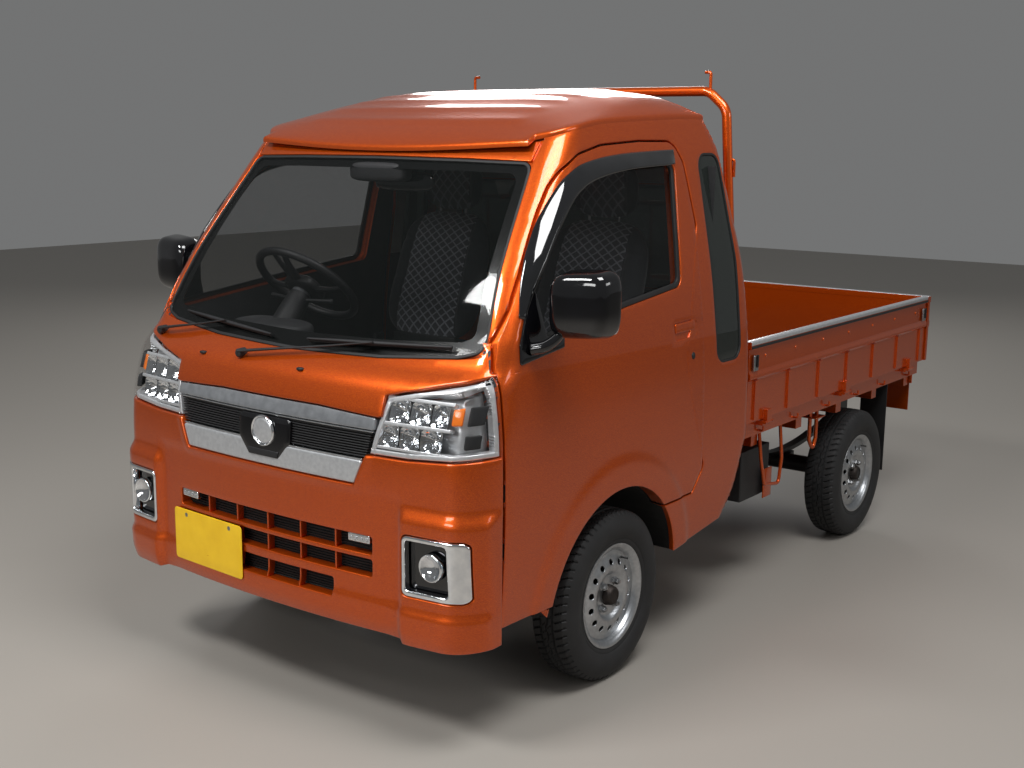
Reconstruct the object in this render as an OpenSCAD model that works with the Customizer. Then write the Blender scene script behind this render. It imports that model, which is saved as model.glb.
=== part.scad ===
// Kei truck: one-box cab over the front axle, drop-side bed on a ladder frame.
// The nose faces -Y, the vehicle's left side is +X, and Z is up from the ground.

/* [Overall] */
// Length from the bumper face to the tailgate hinge
length = 3395; // [3100:5:4100]
// Width of the body across the widest part of the doors
width = 1475; // [1400:5:1780]
// Height of the roof above the ground
roof_height = 1805; // [1700:5:2170]

/* [Cab] */
// Length of the cab from the bumper face to the rear wall
cab_length = 1587; // [1500:1:1900]
// Thickness of the cab walls and doors
wall = 45; // [32:1:56]
// Gap round each door
door_gap = 6; // [5:0.5:9]
// Gap between neighbouring body panels
panel_gap = 3; // [2:0.5:5]
// Height of the footwell floor
floor_height = 500; // [460:1:540]
// Height of the seat base above the ground
seat_base = 790; // [740:1:840]
// Thickness of the window glass
glass = 5; // [3:0.5:7]

/* [Wheels] */
// Distance between the axles
wheelbase = 1900; // [1700:5:2100]
// Distance from the bumper face to the front axle
front_overhang = 767; // [740:1:800]
// Outside diameter of the tyres
tyre_d = 535; // [500:1:560]
// Width of the tyres
tyre_w = 145; // [120:1:165]
// Diameter of the rims where the tyres seat
rim_d = 305; // [280:1:340]
// Distance between the front wheel centres
track_f = 1305; // [1260:1:1330]
// Distance between the rear wheel centres
track_r = 1300; // [1260:1:1330]
// Diameter of the hub spindles
spindle_d = 36; // [24:1:50]
// Steering angle to each side, in degrees
steer_angle = 33; // [20:1:35]

/* [Bed] */
// Height of the bed floor
bed_height = 660; // [640:1:720]
// Height of the drop gates
gate_height = 292; // [240:1:360]
// Thickness of the drop gates
gate_t = 28; // [20:1:36]
// Diameter of the gate hinge pins
pin_d = 10; // [6:1:12]
// Gap at the ends of the gates
gate_gap = 8; // [5:0.5:12]

/* [Frame] */
// Distance between the centres of the two rails
rail_spread = 740; // [700:1:760]
// Width of a rail
rail_w = 50; // [40:1:56]
// Height of a rail
rail_h = 80; // [60:1:90]
// Diameter of the guard frame tube
guard_d = 34; // [25:1:42]
// Diameter of the tow eye holes
tow_d = 30; // [20:1:36]
// Diameter of the rear axle tube
axle_d = 70; // [50:1:90]

/* [Hidden] */

paint = [0.85, 0.36, 0.07];
black = [0.07, 0.07, 0.08];
silver = [0.75, 0.76, 0.78];
dark = [0.16, 0.16, 0.17];
clear = [0.35, 0.42, 0.45, 0.5];

seat_gap = 0.3; // clearance of a seated piece
nose = -length / 2;
tail = length / 2;
cab_back = nose + cab_length;
axle_f = nose + front_overhang;
axle_r = axle_f + wheelbase;
tyre_r = tyre_d / 2;
skin = wall + 10; // depth of the removable front panels
belt = 1000; // height up to which the cab keeps its shape
crown = 1.1e-4; // plan curvature of the front, 1/mm
arch_r = tyre_r + 78;
kingpin_x = track_f / 2 - 95;

// Heights above the belt follow the roof
function up(z) = z <= belt ? z : belt + (z - belt) * (roof_height - belt) / (1805 - belt);
function down(z) = z <= belt ? z : belt + (z - belt) * (1805 - belt) / (roof_height - belt);

// How far the surfaces lie inside the overall box, by height
side_run = [[300, 20], [450, 8], [650, 0], [850, 2], [1000, 10], [1050, 15], [1200, 32],
    [1400, 65], [1600, 102], [1720, 138]];
plate_half = 165; // half the length of a number plate
plate_t = 2;
plate_x = -0.18 * width;
plate_turn = atan(2 * crown * plate_x);
// the bumper face lies behind the plate's leading corner, which is the foremost point
bumper_run = plate_half * sin(-plate_turn) + plate_t + seat_gap - crown * plate_x * plate_x;
nose_run = [[300, bumper_run + 14], [345, bumper_run + 2], [420, bumper_run],
    [720, bumper_run], [850, 12], [920, 27], [985, 50],
    [1010, 73], [1048, 120], [1120, 168], [1200, 211], [1280, 259], [1360, 317],
    [1440, 379], [1520, 442], [1582, 490], [1650, 545], [1720, 602]];
back_run = [[300, 195], [356, 150], [464, 63], [584, 21], [640, 0], [1000, 0], [1208, 12],
    [1449, 61], [1614, 97], [1720, 150]];
corner_run_x = [[300, 92], [950, 95], [1045, 82], [1120, 70], [1280, 78], [1720, 72]];
corner_run_y = [[300, 130], [450, 160], [950, 165], [1045, 110], [1120, 62], [1280, 100],
    [1720, 92]];

function half(z) = width / 2 - lookup(down(z), side_run);
function front(z) = nose + lookup(down(z), nose_run);
function back(z) = cab_back - lookup(down(z), back_run);
function corner_x(z) = lookup(down(z), corner_run_x);
function corner_y(z) = lookup(down(z), corner_run_y);
// Front of the body at x, and side of the body at y, both at height z
function front_at(x, z) = front(z) + crown * x * x;
function side_at(y, z) = let (rx = corner_x(z), ry = corner_y(z),
    f = front_at(half(z) - rx, z), u = min(1, max(0, (f + ry - y) / ry)))
    half(z) - rx + rx * sqrt(1 - u * u);

// One half of the plan outline at height z, set in by t
function plan_half(z, t) =
    let (w = half(z) - t, rx = max(12, corner_x(z) - 0.6 * t), ry = max(12, corner_y(z) - 0.6 * t),
        f = front(z) + t, b = back(z) - t, rb = max(6, 30 - t / 2), x0 = w - rx,
        y0 = f + crown * x0 * x0)
    concat([for (i = [0:2]) [x0 * i / 3, f + crown * pow(x0 * i / 3, 2)]],
        [for (a = [0:18:90]) [x0 + rx * sin(a), y0 + ry * (1 - cos(a))]],
        [for (a = [0:30:90]) [w - rb + rb * cos(a), b - rb + rb * sin(a)]]);
function mirrored(p) = [for (i = [len(p) - 1:-1:0]) if (abs(p[i][0]) > 0.01) [-p[i][0], p[i][1]]];
function plan_ring(z, t) = let (p = plan_half(z, t)) concat(p, mirrored(p));

levels = [300, 345, 450, 584, 720, 850, 920, 985, 1010, 1048, 1085, 1120, 1200, 1280, 1360,
    1440, 1520, 1582, 1650, 1720];

// Solid between stacked rings of points, each given as [z, ring]
module loft(rings) {
    n = len(rings[0][1]);
    m = len(rings);
    polyhedron(
        points = [for (r = rings) for (p = r[1]) [p[0], p[1], r[0]]],
        faces = concat(
            [[for (i = [0:n - 1]) i]],
            [for (k = [0:m - 2]) for (i = [0:n - 1]) let (j = (i + 1) % n)
                [k * n + i, (k + 1) * n + i, (k + 1) * n + j, k * n + j]],
            [[for (i = [n - 1:-1:0]) (m - 1) * n + i]]));
}

// The cab's outer surface, set in by t
module body(t = 0) {
    loft([for (z = levels) [up(z), plan_ring(up(z), t)]]);
}

// Prisms along X from a [y, z] outline, and along Y from an [x, z] outline
module prism_x(x0, x1) {
    translate([x0, 0, 0]) rotate([90, 0, 90]) linear_extrude(x1 - x0) children();
}
module prism_y(y0, y1) {
    translate([0, y1, 0]) rotate([90, 0, 0]) linear_extrude(y1 - y0) children();
}
// Evaluates its children as one mesh
module meshed() {
    resize([0, 0, 0]) children();
}
module both() {
    children();
    mirror([1, 0, 0]) children();
}
module side(s) {
    if (s > 0) children();
    else mirror([1, 0, 0]) children();
}
module box(x0, x1, y0, y1, z0, z1) {
    translate([x0, y0, z0]) cube([x1 - x0, y1 - y0, z1 - z0]);
}

// Side view outlines, [y, z]
door_front = nose + 190;
front_gap = door_gap + 3; // the front edge swings out past its hinge
door_rear = cab_back - 325;
module arch_outline(grow = 0) {
    translate([axle_f, tyre_r]) circle(r = arch_r + grow, $fn = 64);
}
module door_outline(grow = 0) {
    difference() {
        offset(delta = grow) offset(r = 14, $fn = 24) offset(delta = -14) polygon([
            [door_front, 335], [door_front, 1041], [nose + 220, up(1116)],
            [nose + 280, up(1203)], [nose + 334, up(1284)], [nose + 385, up(1357)],
            [nose + 449, up(1443)], [nose + 511, up(1517)], [nose + 557, up(1555)],
            [nose + 645, up(1600)], [nose + 772, up(1626)], [nose + 987, up(1638)],
            [door_rear - 100, up(1638)], [door_rear - 68, up(1621)], [door_rear - 35, up(1575)],
            [door_rear, up(1380)], [door_rear, 580], [door_rear - 60, 506], [axle_f, 506],
            [axle_f, 335]]);
        arch_outline(-grow);
    }
}
module window_outline(grow = 0) {
    offset(delta = grow) offset(r = 22, $fn = 32) offset(delta = -22) polygon([
        [nose + 262, up(1090)], [nose + 822, up(1158)], [door_rear - 130, up(1190)],
        [door_rear - 88, up(1592)], [nose + 644, up(1560)], [nose + 552, up(1512)],
        [nose + 444, up(1405)], [nose + 350, up(1265)]]);
}
module quarter_outline(grow = 0) {
    offset(delta = grow) offset(r = 48, $fn = 32) offset(delta = -48) polygon([
        [cab_back - 243, 916], [cab_back - 76, 916], [cab_back - 74, up(1247)],
        [cab_back - 122, up(1602)], [cab_back - 262, up(1602)]]);
}
// Front view outlines, [x, z]
door_depth = 75; // how far in from the widest point a door may reach
module door_zone(grow = 0) {
    prism_y(nose, tail) polygon(concat(
        [for (z = levels) [half(up(z)) - door_depth - grow, up(z)]],
        [[width, up(1720)], [width, 300]]));
}
module screen_outline(grow = 0) {
    s = width / 1475;
    offset(delta = grow) offset(r = 34, $fn = 32) offset(delta = -34) polygon([for (p = [
        [0, 1046], [330, 1053], [580, 1072], [655, 1092], [561, 1578], [330, 1583], [0, 1586],
        [-330, 1583], [-561, 1578], [-655, 1092], [-580, 1072], [-330, 1053]])
        [p[0] * s, up(p[1])]]);
}
module lamp_outline(grow = 0) {
    s = width / 1475;
    offset(delta = grow) polygon([[389 * s, 804], [520 * s, 806], [640 * s, 815],
        [800 * s, 826], [800 * s, 1041], [690 * s, 1030], [560 * s, 1000], [427 * s, 967]]);
}
module grille_outline(grow = 0) {
    s = width / 1475;
    offset(delta = grow) polygon([[346 * s, 717], [384 * s, 804], [408 * s, 906],
        [200 * s, 916], [-200 * s, 916], [-408 * s, 906], [-384 * s, 804], [-346 * s, 717]]);
}
fog_x = [516, 698]; // inner and outer edges of the fog lamp housings
fog_z = [440, 608];

// Region of the removable front panels: ahead of the doors and below the screen
front_top = up(1112);
module front_region(grow = 0) {
    prism_x(-width, width) polygon([[nose - 60, 200], [door_front - front_gap + grow, 200],
        [door_front - front_gap + grow, 1041], [nose + 196 + grow, front_top + grow],
        [nose - 60, front_top + grow]]);
}
// The removable front skin as one thick shell
module front_skin() {
    intersection() {
        difference() {
            body();
            body(skin - 0.5);
        }
        front_region();
    }
}

// Height of the seam between the cab and its roof, by distance from the nose
seam_run = [[480, 1592], [532, 1628], [580, 1648], [652, 1667], [806, 1689], [1029, 1701],
    [1337, 1711], [1500, 1711]];
function seam(y) = up(lookup(y - nose, seam_run));
seam_margin = cab_length - 1587;

engine_bay = rail_spread / 2 + rail_w / 2 + 6;
wheel_bay = engine_bay + 18;

// The lower part carries the seats; the upper part stands on it
module cab_floor() {
    color(paint) meshed() intersection() {
        cab_body();
        box(-width, width, nose, tail, 0, seat_base);
    }
}
module cab_shell() {
    color(paint) meshed() intersection() {
        cab_body();
        box(-width, width, nose, tail, seat_base + seat_gap, roof_height + 100);
    }
}
module cab_body() {
    difference() {
        body();
        // front panels sit on the outside of the firewall
        difference() {
            front_region(grow = 0.1);
            body(skin);
        }
        // cabin
        intersection() {
            union() {
                intersection() {
                    body(skin + 30);
                    box(-width, width, nose, tail, 0, front_top + 1);
                }
                intersection() {
                    body(wall);
                    union() {
                        box(-width, width, nose, tail, front_top, roof_height);
                        box(-width, width, door_front + 7, tail, 0, roof_height);
                    }
                }
            }
            union() {
                box(-width, width, nose, tail, seat_base, roof_height + 100);
                box(-width, width, nose, axle_f - arch_r - 60, floor_height, roof_height);
            }
        }
        // space above the seam belongs to the roof
        roof_solid(spread = 60, low = 0, lid = 300);
        // doors
        both() intersection() {
            difference() {
                prism_x(wheel_bay, width) door_outline(door_gap);
                body(wall + door_gap);
            }
            door_zone(door_gap);
        }
        // windows
        prism_y(nose, nose + 800) screen_outline(0.5);
        prism_x(-width, width) quarter_outline(0.5);
        prism_y(cab_back - 400, cab_back + 50) rear_outline(0.5);
        // wheel arches, open below
        both() difference() {
            prism_x(wheel_bay, width) union() {
                arch_outline();
                translate([axle_f - arch_r, 200]) square([2 * arch_r, tyre_r - 200]);
            }
            box(0, width, axle_f - 400, axle_f + 400, seat_base - 30, 1000);
        }
        // engine bay and the pockets behind the wheels, open below
        box(-engine_bay, engine_bay, axle_f - arch_r + 40, tail, 0, seat_base - 25);
        both() box(engine_bay - 1, half(600) - wall - 4, axle_f + arch_r + 30,
            cab_back - wall - 62, 0, seat_base - 25);
        // underside of the front floor
        box(-width, width, nose, axle_f - arch_r - 10, 0, floor_height - 60);
        box(-engine_bay, engine_bay, nose, axle_f, 0, floor_height - 60);
        // rising lower edge behind the wheel
        prism_x(-width, width) polygon([[axle_f, 200], [axle_f, 312], [axle_f + 235, 312],
            [cab_back - 140, 368], [tail, 368], [tail, 200]]);
    }
}

module rear_outline(grow = 0) {
    offset(delta = grow) offset(r = 40, $fn = 32) offset(delta = -40)
        polygon([[-width / 2 + 205, up(1120)], [width / 2 - 205, up(1120)],
            [width / 2 - 225, up(1490)], [-width / 2 + 225, up(1490)]]);
}

// Roof: a dome whose rim stands on the seam
roof_t = 35;
roof_lip = 14;
roof_stations = [494, 506, 532, 580, 652, 806, 930, 1060, 1200, 1320, 1390, 1425, 1450];
roof_peak = [[482, 1611], [547, 1652], [647, 1700], [747, 1735], [847, 1762], [997, 1790],
    [1197, 1805], [1297, 1803], [1367, 1790], [1417, 1766], [1457, 1728]];
roof_u = [-1, -0.96, -0.88, -0.76, -0.5, -0.2, 0.2, 0.5, 0.76, 0.88, 0.96, 1];
function roof_run(i) = let (r = roof_stations[i]) r <= 850 ? r : r + seam_margin * (r - 850) / 600;
function roof_bow(i) = crown * max(0, 1 - i / (len(roof_stations) - 1));
function roof_half(i) = let (y = nose + roof_run(i) + roof_bow(i) * 3.4e5) side_at(y, seam(y));
// Point of the roof at station i and fraction u of the half width. Stations and
// fractions just past the rim repeat it, moved out by spread.
function roof_point(i, u, spread, low, lid) =
    let (k = min(len(roof_stations) - 1, max(0, i)), v = min(1, max(-1, u)),
        x = v * roof_half(k), y = nose + roof_run(k) + roof_bow(k) * x * x, s = seam(y),
        rise = up(lookup(roof_stations[k], roof_peak)) - seam(nose + roof_run(k)))
    [x + sign(u - v) * spread, y + sign(i - k) * spread, lid > 0 ? s + lid
        : lid == 0 ? s + roof_lip + max(0, rise - roof_lip) * (1 - pow(abs(v), 6))
        : s + low + max(0, rise - roof_t) * (1 - pow(abs(v), 4))];
// Solid over the roof's grid; a lid above 0 makes a plain block up to that height
module roof_solid(spread = 0, low = seat_gap, lid = 0) {
    columns = spread > 0 ? concat([-1.1], roof_u, [1.1]) : roof_u;
    rows = spread > 0 ? [-1:len(roof_stations)] : [0:len(roof_stations) - 1];
    n = len(columns);
    m = len(roof_stations) + (spread > 0 ? 2 : 0);
    function at(i, j, top) = (top ? 0 : n * m) + i * n + j;
    polyhedron(
        points = [for (top = [true, false]) for (i = rows) for (u = columns)
            roof_point(i, u, spread, low, top ? lid : -1)],
        faces = concat(
            [for (i = [0:m - 2]) for (j = [0:n - 2]) for (f = [
                [at(i, j, true), at(i + 1, j, true), at(i + 1, j + 1, true)],
                [at(i, j, true), at(i + 1, j + 1, true), at(i, j + 1, true)],
                [at(i, j, false), at(i + 1, j + 1, false), at(i + 1, j, false)],
                [at(i, j, false), at(i, j + 1, false), at(i + 1, j + 1, false)]]) f],
            [for (i = [0:m - 2]) for (f = [
                [at(i, 0, false), at(i + 1, 0, false), at(i + 1, 0, true), at(i, 0, true)],
                [at(i, n - 1, true), at(i + 1, n - 1, true), at(i + 1, n - 1, false),
                    at(i, n - 1, false)]]) f],
            [for (j = [0:n - 2]) for (f = [
                [at(0, j, true), at(0, j + 1, true), at(0, j + 1, false), at(0, j, false)],
                [at(m - 1, j, false), at(m - 1, j + 1, false), at(m - 1, j + 1, true),
                    at(m - 1, j, true)]]) f]));
}
module cab_roof() {
    color(paint) meshed() roof_solid();
}

// Front end
half_gap = panel_gap / 2;
module front_panel() {
    color(paint) meshed() difference() {
        intersection() {
            front_skin();
            box(-width, width, nose - 60, tail, 804 + half_gap, front_top);
        }
        both() prism_y(nose - 60, 0) lamp_outline(half_gap);
        prism_y(nose - 60, 0) grille_outline(half_gap);
        prism_y(nose - 60, nose + 800) screen_outline(panel_gap);
    }
}
module front_bumper() {
    color(paint) meshed() difference() {
        union() {
            intersection() {
                front_skin();
                box(-width, width, nose - 60, tail, 300, 804 - half_gap);
            }
            // raised corner boxes round the fog lamps
            both() intersection() {
                difference() {
                    body(-20);
                    body(10);
                }
                prism_y(nose - 60, door_front) polygon([[fog_x[0] - 12, 395],
                    [fog_x[1] + 12, 400], [fog_x[1] + 10, 660], [fog_x[0] - 6, 650]]);
                box(0, half(600) - 8, nose, door_front - 70, 0, 1000);
            }
        }
        both() prism_y(nose - 60, 0) lamp_outline(half_gap);
        prism_y(nose - 60, 0) grille_outline(half_gap);
        both() prism_y(nose - 60, 0) fog_outline(half_gap);
        // air intake in three rows
        for (row = [[402, 526, 573, 5], [402, 462, 509, 5], [262, 380, 434, 3]]) {
            w = 2 * row[0] / row[3] - 14;
            for (i = [0:row[3] - 1]) {
                x = -row[0] + (i + 0.5) * 2 * row[0] / row[3];
                box(x - w / 2, x + w / 2, nose - 60, door_front, row[1], row[2]);
            }
        }
    }
}
module fog_outline(grow = 0) {
    offset(r = 16 + grow, $fn = 24) translate([fog_x[0] + 16, fog_z[0] + 16])
        square([fog_x[1] - fog_x[0] - 32, fog_z[1] - fog_z[0] - 32]);
}
module fog_lamps() {
    color(silver) meshed() both() intersection() {
        difference() {
            body(-17);
            body(skin - 0.5);
        }
        front_region();
        prism_y(nose - 60, door_front) fog_outline(-half_gap);
    }
}
module front_grille() {
    color(dark) meshed() intersection() {
        front_skin();
        prism_y(nose - 60, 0) grille_outline(-half_gap);
    }
}
module headlamps() {
    color(silver) meshed() both() intersection() {
        front_skin();
        prism_y(nose - 60, 0) lamp_outline(-half_gap);
    }
}

// Glass
module windscreen() {
    color(clear) meshed() intersection() {
        difference() {
            body(2);
            body(2 + glass);
        }
        prism_y(nose, nose + 800) screen_outline();
    }
}
module cab_glass() {
    color(clear) meshed() {
        both() intersection() {
            difference() {
                body(4);
                body(4 + glass);
            }
            prism_x(0, width) quarter_outline();
        }
        intersection() {
            difference() {
                body(8);
                body(8 + glass);
            }
            prism_y(cab_back - 400, cab_back) rear_outline();
        }
    }
}

// Door hinges: arms on the pillar that carry upright pins just inside the skin
hinge_z = [560, 720];
hinge_y = door_front + 6.5;
hinge_x = side_at(door_front, 720) - 8;
hinge_pin_d = 8;
function inner_side(y, z, t) = let (rx = corner_x(z) - 0.6 * t, ry = corner_y(z) - 0.6 * t,
    x0 = half(z) - t - rx, u = min(1, max(0, (front_at(x0, z) + t + ry - y) / ry)))
    x0 + rx * sqrt(1 - u * u);
module door_hinges() {
    color(black) both() for (z = hinge_z) {
        box(inner_side(hinge_y, z, wall + door_gap), hinge_x, hinge_y - 4, hinge_y + 4, z - 18, z + 18);
        translate([hinge_x, hinge_y, z - 32]) cylinder(d = hinge_pin_d, h = 64, $fn = 32);
    }
}

// Doors: the rear edge keeps extra room, because it swings back a little as it opens
swing_gap = 3;
module door(s) {
    color(paint) meshed() side(s) difference() {
        intersection() {
            difference() {
                body();
                body(wall);
            }
            prism_x(wheel_bay, width) door_outline();
            door_zone();
            box(0, width, nose, door_rear - swing_gap, 0, roof_height);
        }
        prism_x(wheel_bay, width) window_outline(0.5);
        // pockets and holes for the hinges
        for (z = hinge_z) {
            box(wheel_bay, hinge_x + 5, nose, hinge_y + 7, z - 22, z + 22);
            translate([hinge_x, hinge_y, z - 33]) cylinder(d = hinge_pin_d + 0.9, h = 66, $fn = 24);
        }
    }
}
module door_left() { door(1); }
module door_right() { door(-1); }
module door_glass(s) {
    color(clear) meshed() side(s) intersection() {
        door_zone();
        difference() {
            body(12);
            body(12 + glass);
        }
        prism_x(wheel_bay, width) window_outline();
    }
}
module door_glass_left() { door_glass(1); }
module door_glass_right() { door_glass(-1); }

// Mirrors: a housing on an arm from the front corner of the window
mirror_y = nose + 385;
mirror_z = up(1213);
module mirror_unit(s) {
    x = side_at(nose + 300, up(1090));
    color(black) side(s) {
        hull() for (c = [[x + 56, -18, -62, 26], [x + 60, -18, 60, 30], [x + 188, 28, 66, 26],
            [x + 192, 28, -50, 22], [x + 60, 20, -60, 16], [x + 62, 22, 66, 16],
            [x + 190, 46, 60, 14]])
            translate([c[0], mirror_y + c[1], mirror_z + c[2]]) sphere(r = c[3], $fn = 20);
    }
    color(black) side(s) hull() {
        translate([x + 4, nose + 300, up(1078)]) rotate([0, 90, 0]) cylinder(d = 34, h = 12, $fn = 24);
        translate([x + 52, mirror_y - 20, mirror_z - 76]) sphere(d = 30, $fn = 20);
    }
}
module mirror_left() { mirror_unit(1); }
module mirror_right() { mirror_unit(-1); }

// Cabin
wheel_c = [-0.217 * width, nose + 497, up(1172)]; // steering wheel centre
wheel_tilt = 42; // of the wheel's axis back from the vertical
module dashboard() {
    color(dark) meshed() difference() {
        intersection() {
            body(skin + 30.5);
            prism_x(-half(1000) + 110, half(1000) - 110) polygon([[nose, 830], [nose, up(1032)],
                [nose + 330, up(1040)], [nose + 388, up(1018)], [nose + 400, up(960)],
                [nose + 330, 850], [nose + 250, 830]]);
        }
        prism_y(nose, nose + 800) screen_outline(6);
    }
    // steering column
    color(black) translate(wheel_c) rotate([-wheel_tilt, 0, 0])
        translate([0, 0, -230]) cylinder(d = 64, h = 200, $fn = 40);
}
module steering_wheel() {
    color(black) translate(wheel_c) rotate([-wheel_tilt, 0, 0]) {
        rotate_extrude($fn = 64) translate([175, 0]) circle(r = 13, $fn = 24);
        translate([0, 0, -22]) cylinder(d = 116, h = 30, $fn = 48);
        for (a = [0, 180, 270]) rotate([0, 0, a]) translate([50, -18, -14]) cube([118, 36, 12]);
        translate([0, 0, -29.7]) cylinder(d = 40, h = 10, $fn = 32);
    }
}
seat_x = 0.225 * width;
seat_w = 470;
module seat(s) {
    color(dark) side(s) {
        hull() for (x = [-1, 1]) for (y = [nose + 665, nose + 1095])
            translate([seat_x + x * (seat_w / 2 - 45), y, seat_base + seat_gap])
                cylinder(r = 45, h = 105, $fn = 24);
        hull() for (x = [-1, 1]) {
            translate([seat_x + x * (seat_w / 2 - 62), nose + 1110, seat_base + 160])
                sphere(r = 50, $fn = 24);
            translate([seat_x + x * (seat_w / 2 - 80), nose + 1250, seat_base + 560])
                sphere(r = 42, $fn = 24);
        }
        hull() for (x = [-1, 1]) for (z = [625, 750])
            translate([seat_x + x * 95, nose + 1255 + z / 40, seat_base + z])
                sphere(r = 40, $fn = 24);
        box(seat_x - 150, seat_x + 150, nose + 1080, nose + 1112, seat_base + 90,
            seat_base + 130);
    }
}
module seat_left() { seat(1); }
module seat_right() { seat(-1); }

// Wipers rest just clear of the screen, on pivots in the cowl
function on_screen(x, z, t) = [x, front_at(x, up(z)) - t, up(z)];
module wiper(lift, x0, z0, x1, z1, x2, z2) {
    base = on_screen(x0, z0, 0);
    knee = on_screen((x1 + x2) / 2, (z1 + z2) / 2, 26);
    translate(base + lift * [0, -1, 1]) rotate([45, 0, 0]) cylinder(d = 26, h = 20, $fn = 32);
    hull() {
        translate(base + [0, -14, 12]) sphere(d = 18, $fn = 12);
        translate(knee) sphere(d = 12, $fn = 12);
    }
    hull() {
        translate(on_screen(x1, z1, 14)) sphere(d = 14, $fn = 12);
        translate(knee + [0, 6, -2]) sphere(d = 14, $fn = 12);
    }
    hull() {
        translate(on_screen(x2, z2, 14)) sphere(d = 14, $fn = 12);
        translate(knee + [0, 6, -2]) sphere(d = 14, $fn = 12);
    }
}
module wipers() {
    color(dark) {
        wiper(0.3, -160, 1012, 60, 1078, 560, 1098);
        wiper(1.2, -600, 1030, -520, 1104, -90, 1078);
    }
}

// Frame: two rails with a tow plate at each end and cross members
rail_z = bed_height - 190; // underside of the rails behind the cab
rail_x = rail_spread / 2;
cab_rail_z = floor_height - 60 - rail_h - 0.5;
tow_z = cab_rail_z + rail_h / 2;
frame_front = nose + 90;
frame_rear = tail - 60;
module rail() {
    kick = cab_back - 150;
    prism_x(rail_x - rail_w / 2, rail_x + rail_w / 2) polygon([
        [frame_front, cab_rail_z], [kick, cab_rail_z], [kick + 160, rail_z],
        [frame_rear, rail_z], [frame_rear, rail_z + rail_h], [kick + 130, rail_z + rail_h],
        [kick - 20, cab_rail_z + rail_h], [frame_front, cab_rail_z + rail_h]]);
}
tow_drop = 84; // from the rail's underside to the eye, so that a pin passes below the bumper
module tow_eye(x, y) {
    z = tow_z - rail_h / 2 - tow_drop;
    difference() {
        union() {
            box(x - 8, x + 8, y - 38, y + 38, z, tow_z - rail_h / 2);
            translate([x - 8, y, z]) rotate([0, 90, 0]) cylinder(d = tow_d + 30, h = 16, $fn = 48);
        }
        translate([x - 20, y, z]) rotate([0, 90, 0]) cylinder(d = tow_d, h = 40, $fn = 48);
    }
}
hanger_y = 520; // half the length of a leaf spring
hanger_z = 410;
module chassis_frame() {
    x = rail_x - rail_w / 2;
    color(black) {
        both() rail();
        for (y = [frame_front, axle_f - arch_r - 130])
            box(-x, x, y, y + 50, cab_rail_z + 5, cab_rail_z + rail_h - 10);
        // a shallow member over the drive shaft
        box(-x, x, engine_rear + 30, engine_rear + 80, shaft_z + 34, cab_rail_z + rail_h);
        for (y = [cab_back + 120, axle_r - 330, axle_r + 330, frame_rear - 50])
            box(-x, x, y, y + 50, rail_z + 5, rail_z + rail_h - 10);
        tow_eye(-rail_x, frame_front + 60);
        translate([0, 0, rail_z - cab_rail_z]) tow_eye(rail_x, frame_rear - 40);
        // leaf spring hangers
        both() for (y = [-1, 1]) difference() {
            box(rail_x - rail_w / 2, rail_x + rail_w / 2, axle_r + y * hanger_y - 30,
                axle_r + y * hanger_y + 30, hanger_z - 22, rail_z);
            box(rail_x - spring_w / 2 - seat_gap, rail_x + spring_w / 2 + seat_gap,
                axle_r + y * hanger_y - 40, axle_r + y * hanger_y + 40, 0, rail_z - 12);
            translate([0, axle_r + y * hanger_y, hanger_z]) rotate([0, 90, 0])
                cylinder(d = 14, h = width, $fn = 32);
        }
    }
}

// Bed
bed_front = cab_back + guard_d + 8;
gate_out = width / 2 - 12; // outer face of a closed side gate
gate_x = gate_out - gate_t; // inner face
pin_x = gate_out + 6;
pin_z = bed_height - 10;
tail_out = tail - 11.5; // outer face of the closed tailgate
tail_y = tail_out - gate_t;
tail_pin_y = tail - 5.5;
deck_rear = tail_y - gate_gap;
gate_front = cab_back + 16;
gate_bottom = bed_height + 2;
beam_z = rail_z + rail_h + 0.5;
beam_h = bed_height - 20 - beam_z;
function spots(a, b, n) = [for (i = [0:n - 1]) a + (b - a) * i / (n - 1)];
beams = spots(bed_front + 130, deck_rear - 80, 5);
hinges = spots(gate_front + 150, deck_rear - 190, 3);
module hinge_ear(y) {
    // two ears and a pin, with the gate's knuckle between them
    for (e = [-1, 1]) translate([0, y + e * 26 - 5, 0]) {
        box(gate_x - 2, pin_x - 8, 0, 10, pin_z - 12, pin_z + 6);
        translate([pin_x, 0, pin_z]) rotate([-90, 0, 0]) cylinder(d = 11, h = 10, $fn = 32);
        box(pin_x - 9, pin_x, 0, 10, pin_z - 5, pin_z + 5);
    }
    translate([pin_x, y - 30, pin_z]) rotate([-90, 0, 0]) cylinder(d = pin_d - 4, h = 60, $fn = 32);
}
module bed_deck() {
    color(paint) {
        box(-gate_x + 2, gate_x - 2, bed_front, deck_rear, bed_height - 20, bed_height);
        both() {
            box(gate_x - 22, gate_x - 2, bed_front, deck_rear, bed_height - 60, bed_height - 20);
            for (y = hinges) hinge_ear(y);
            // lamp plate under the rear corner
            box(rail_x + 150, gate_x - 30, deck_rear - 12, deck_rear - 6, 425, bed_height - 20);
        }
        // front bulkhead between the guard posts
        box(-gate_x + 8, gate_x - 8, bed_front, bed_front + 24, bed_height,
            bed_height + gate_height - 4);
        for (x = spots(-width / 2 + 260, width / 2 - 260, 3)) tail_ears(x);
    }
}
module bed_beams() {
    x = gate_x - 22 - seat_gap;
    color(paint) for (y = beams)
        box(-x, x, y - 25, y + 25, beam_z, bed_height - 20 - seat_gap);
}
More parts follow.
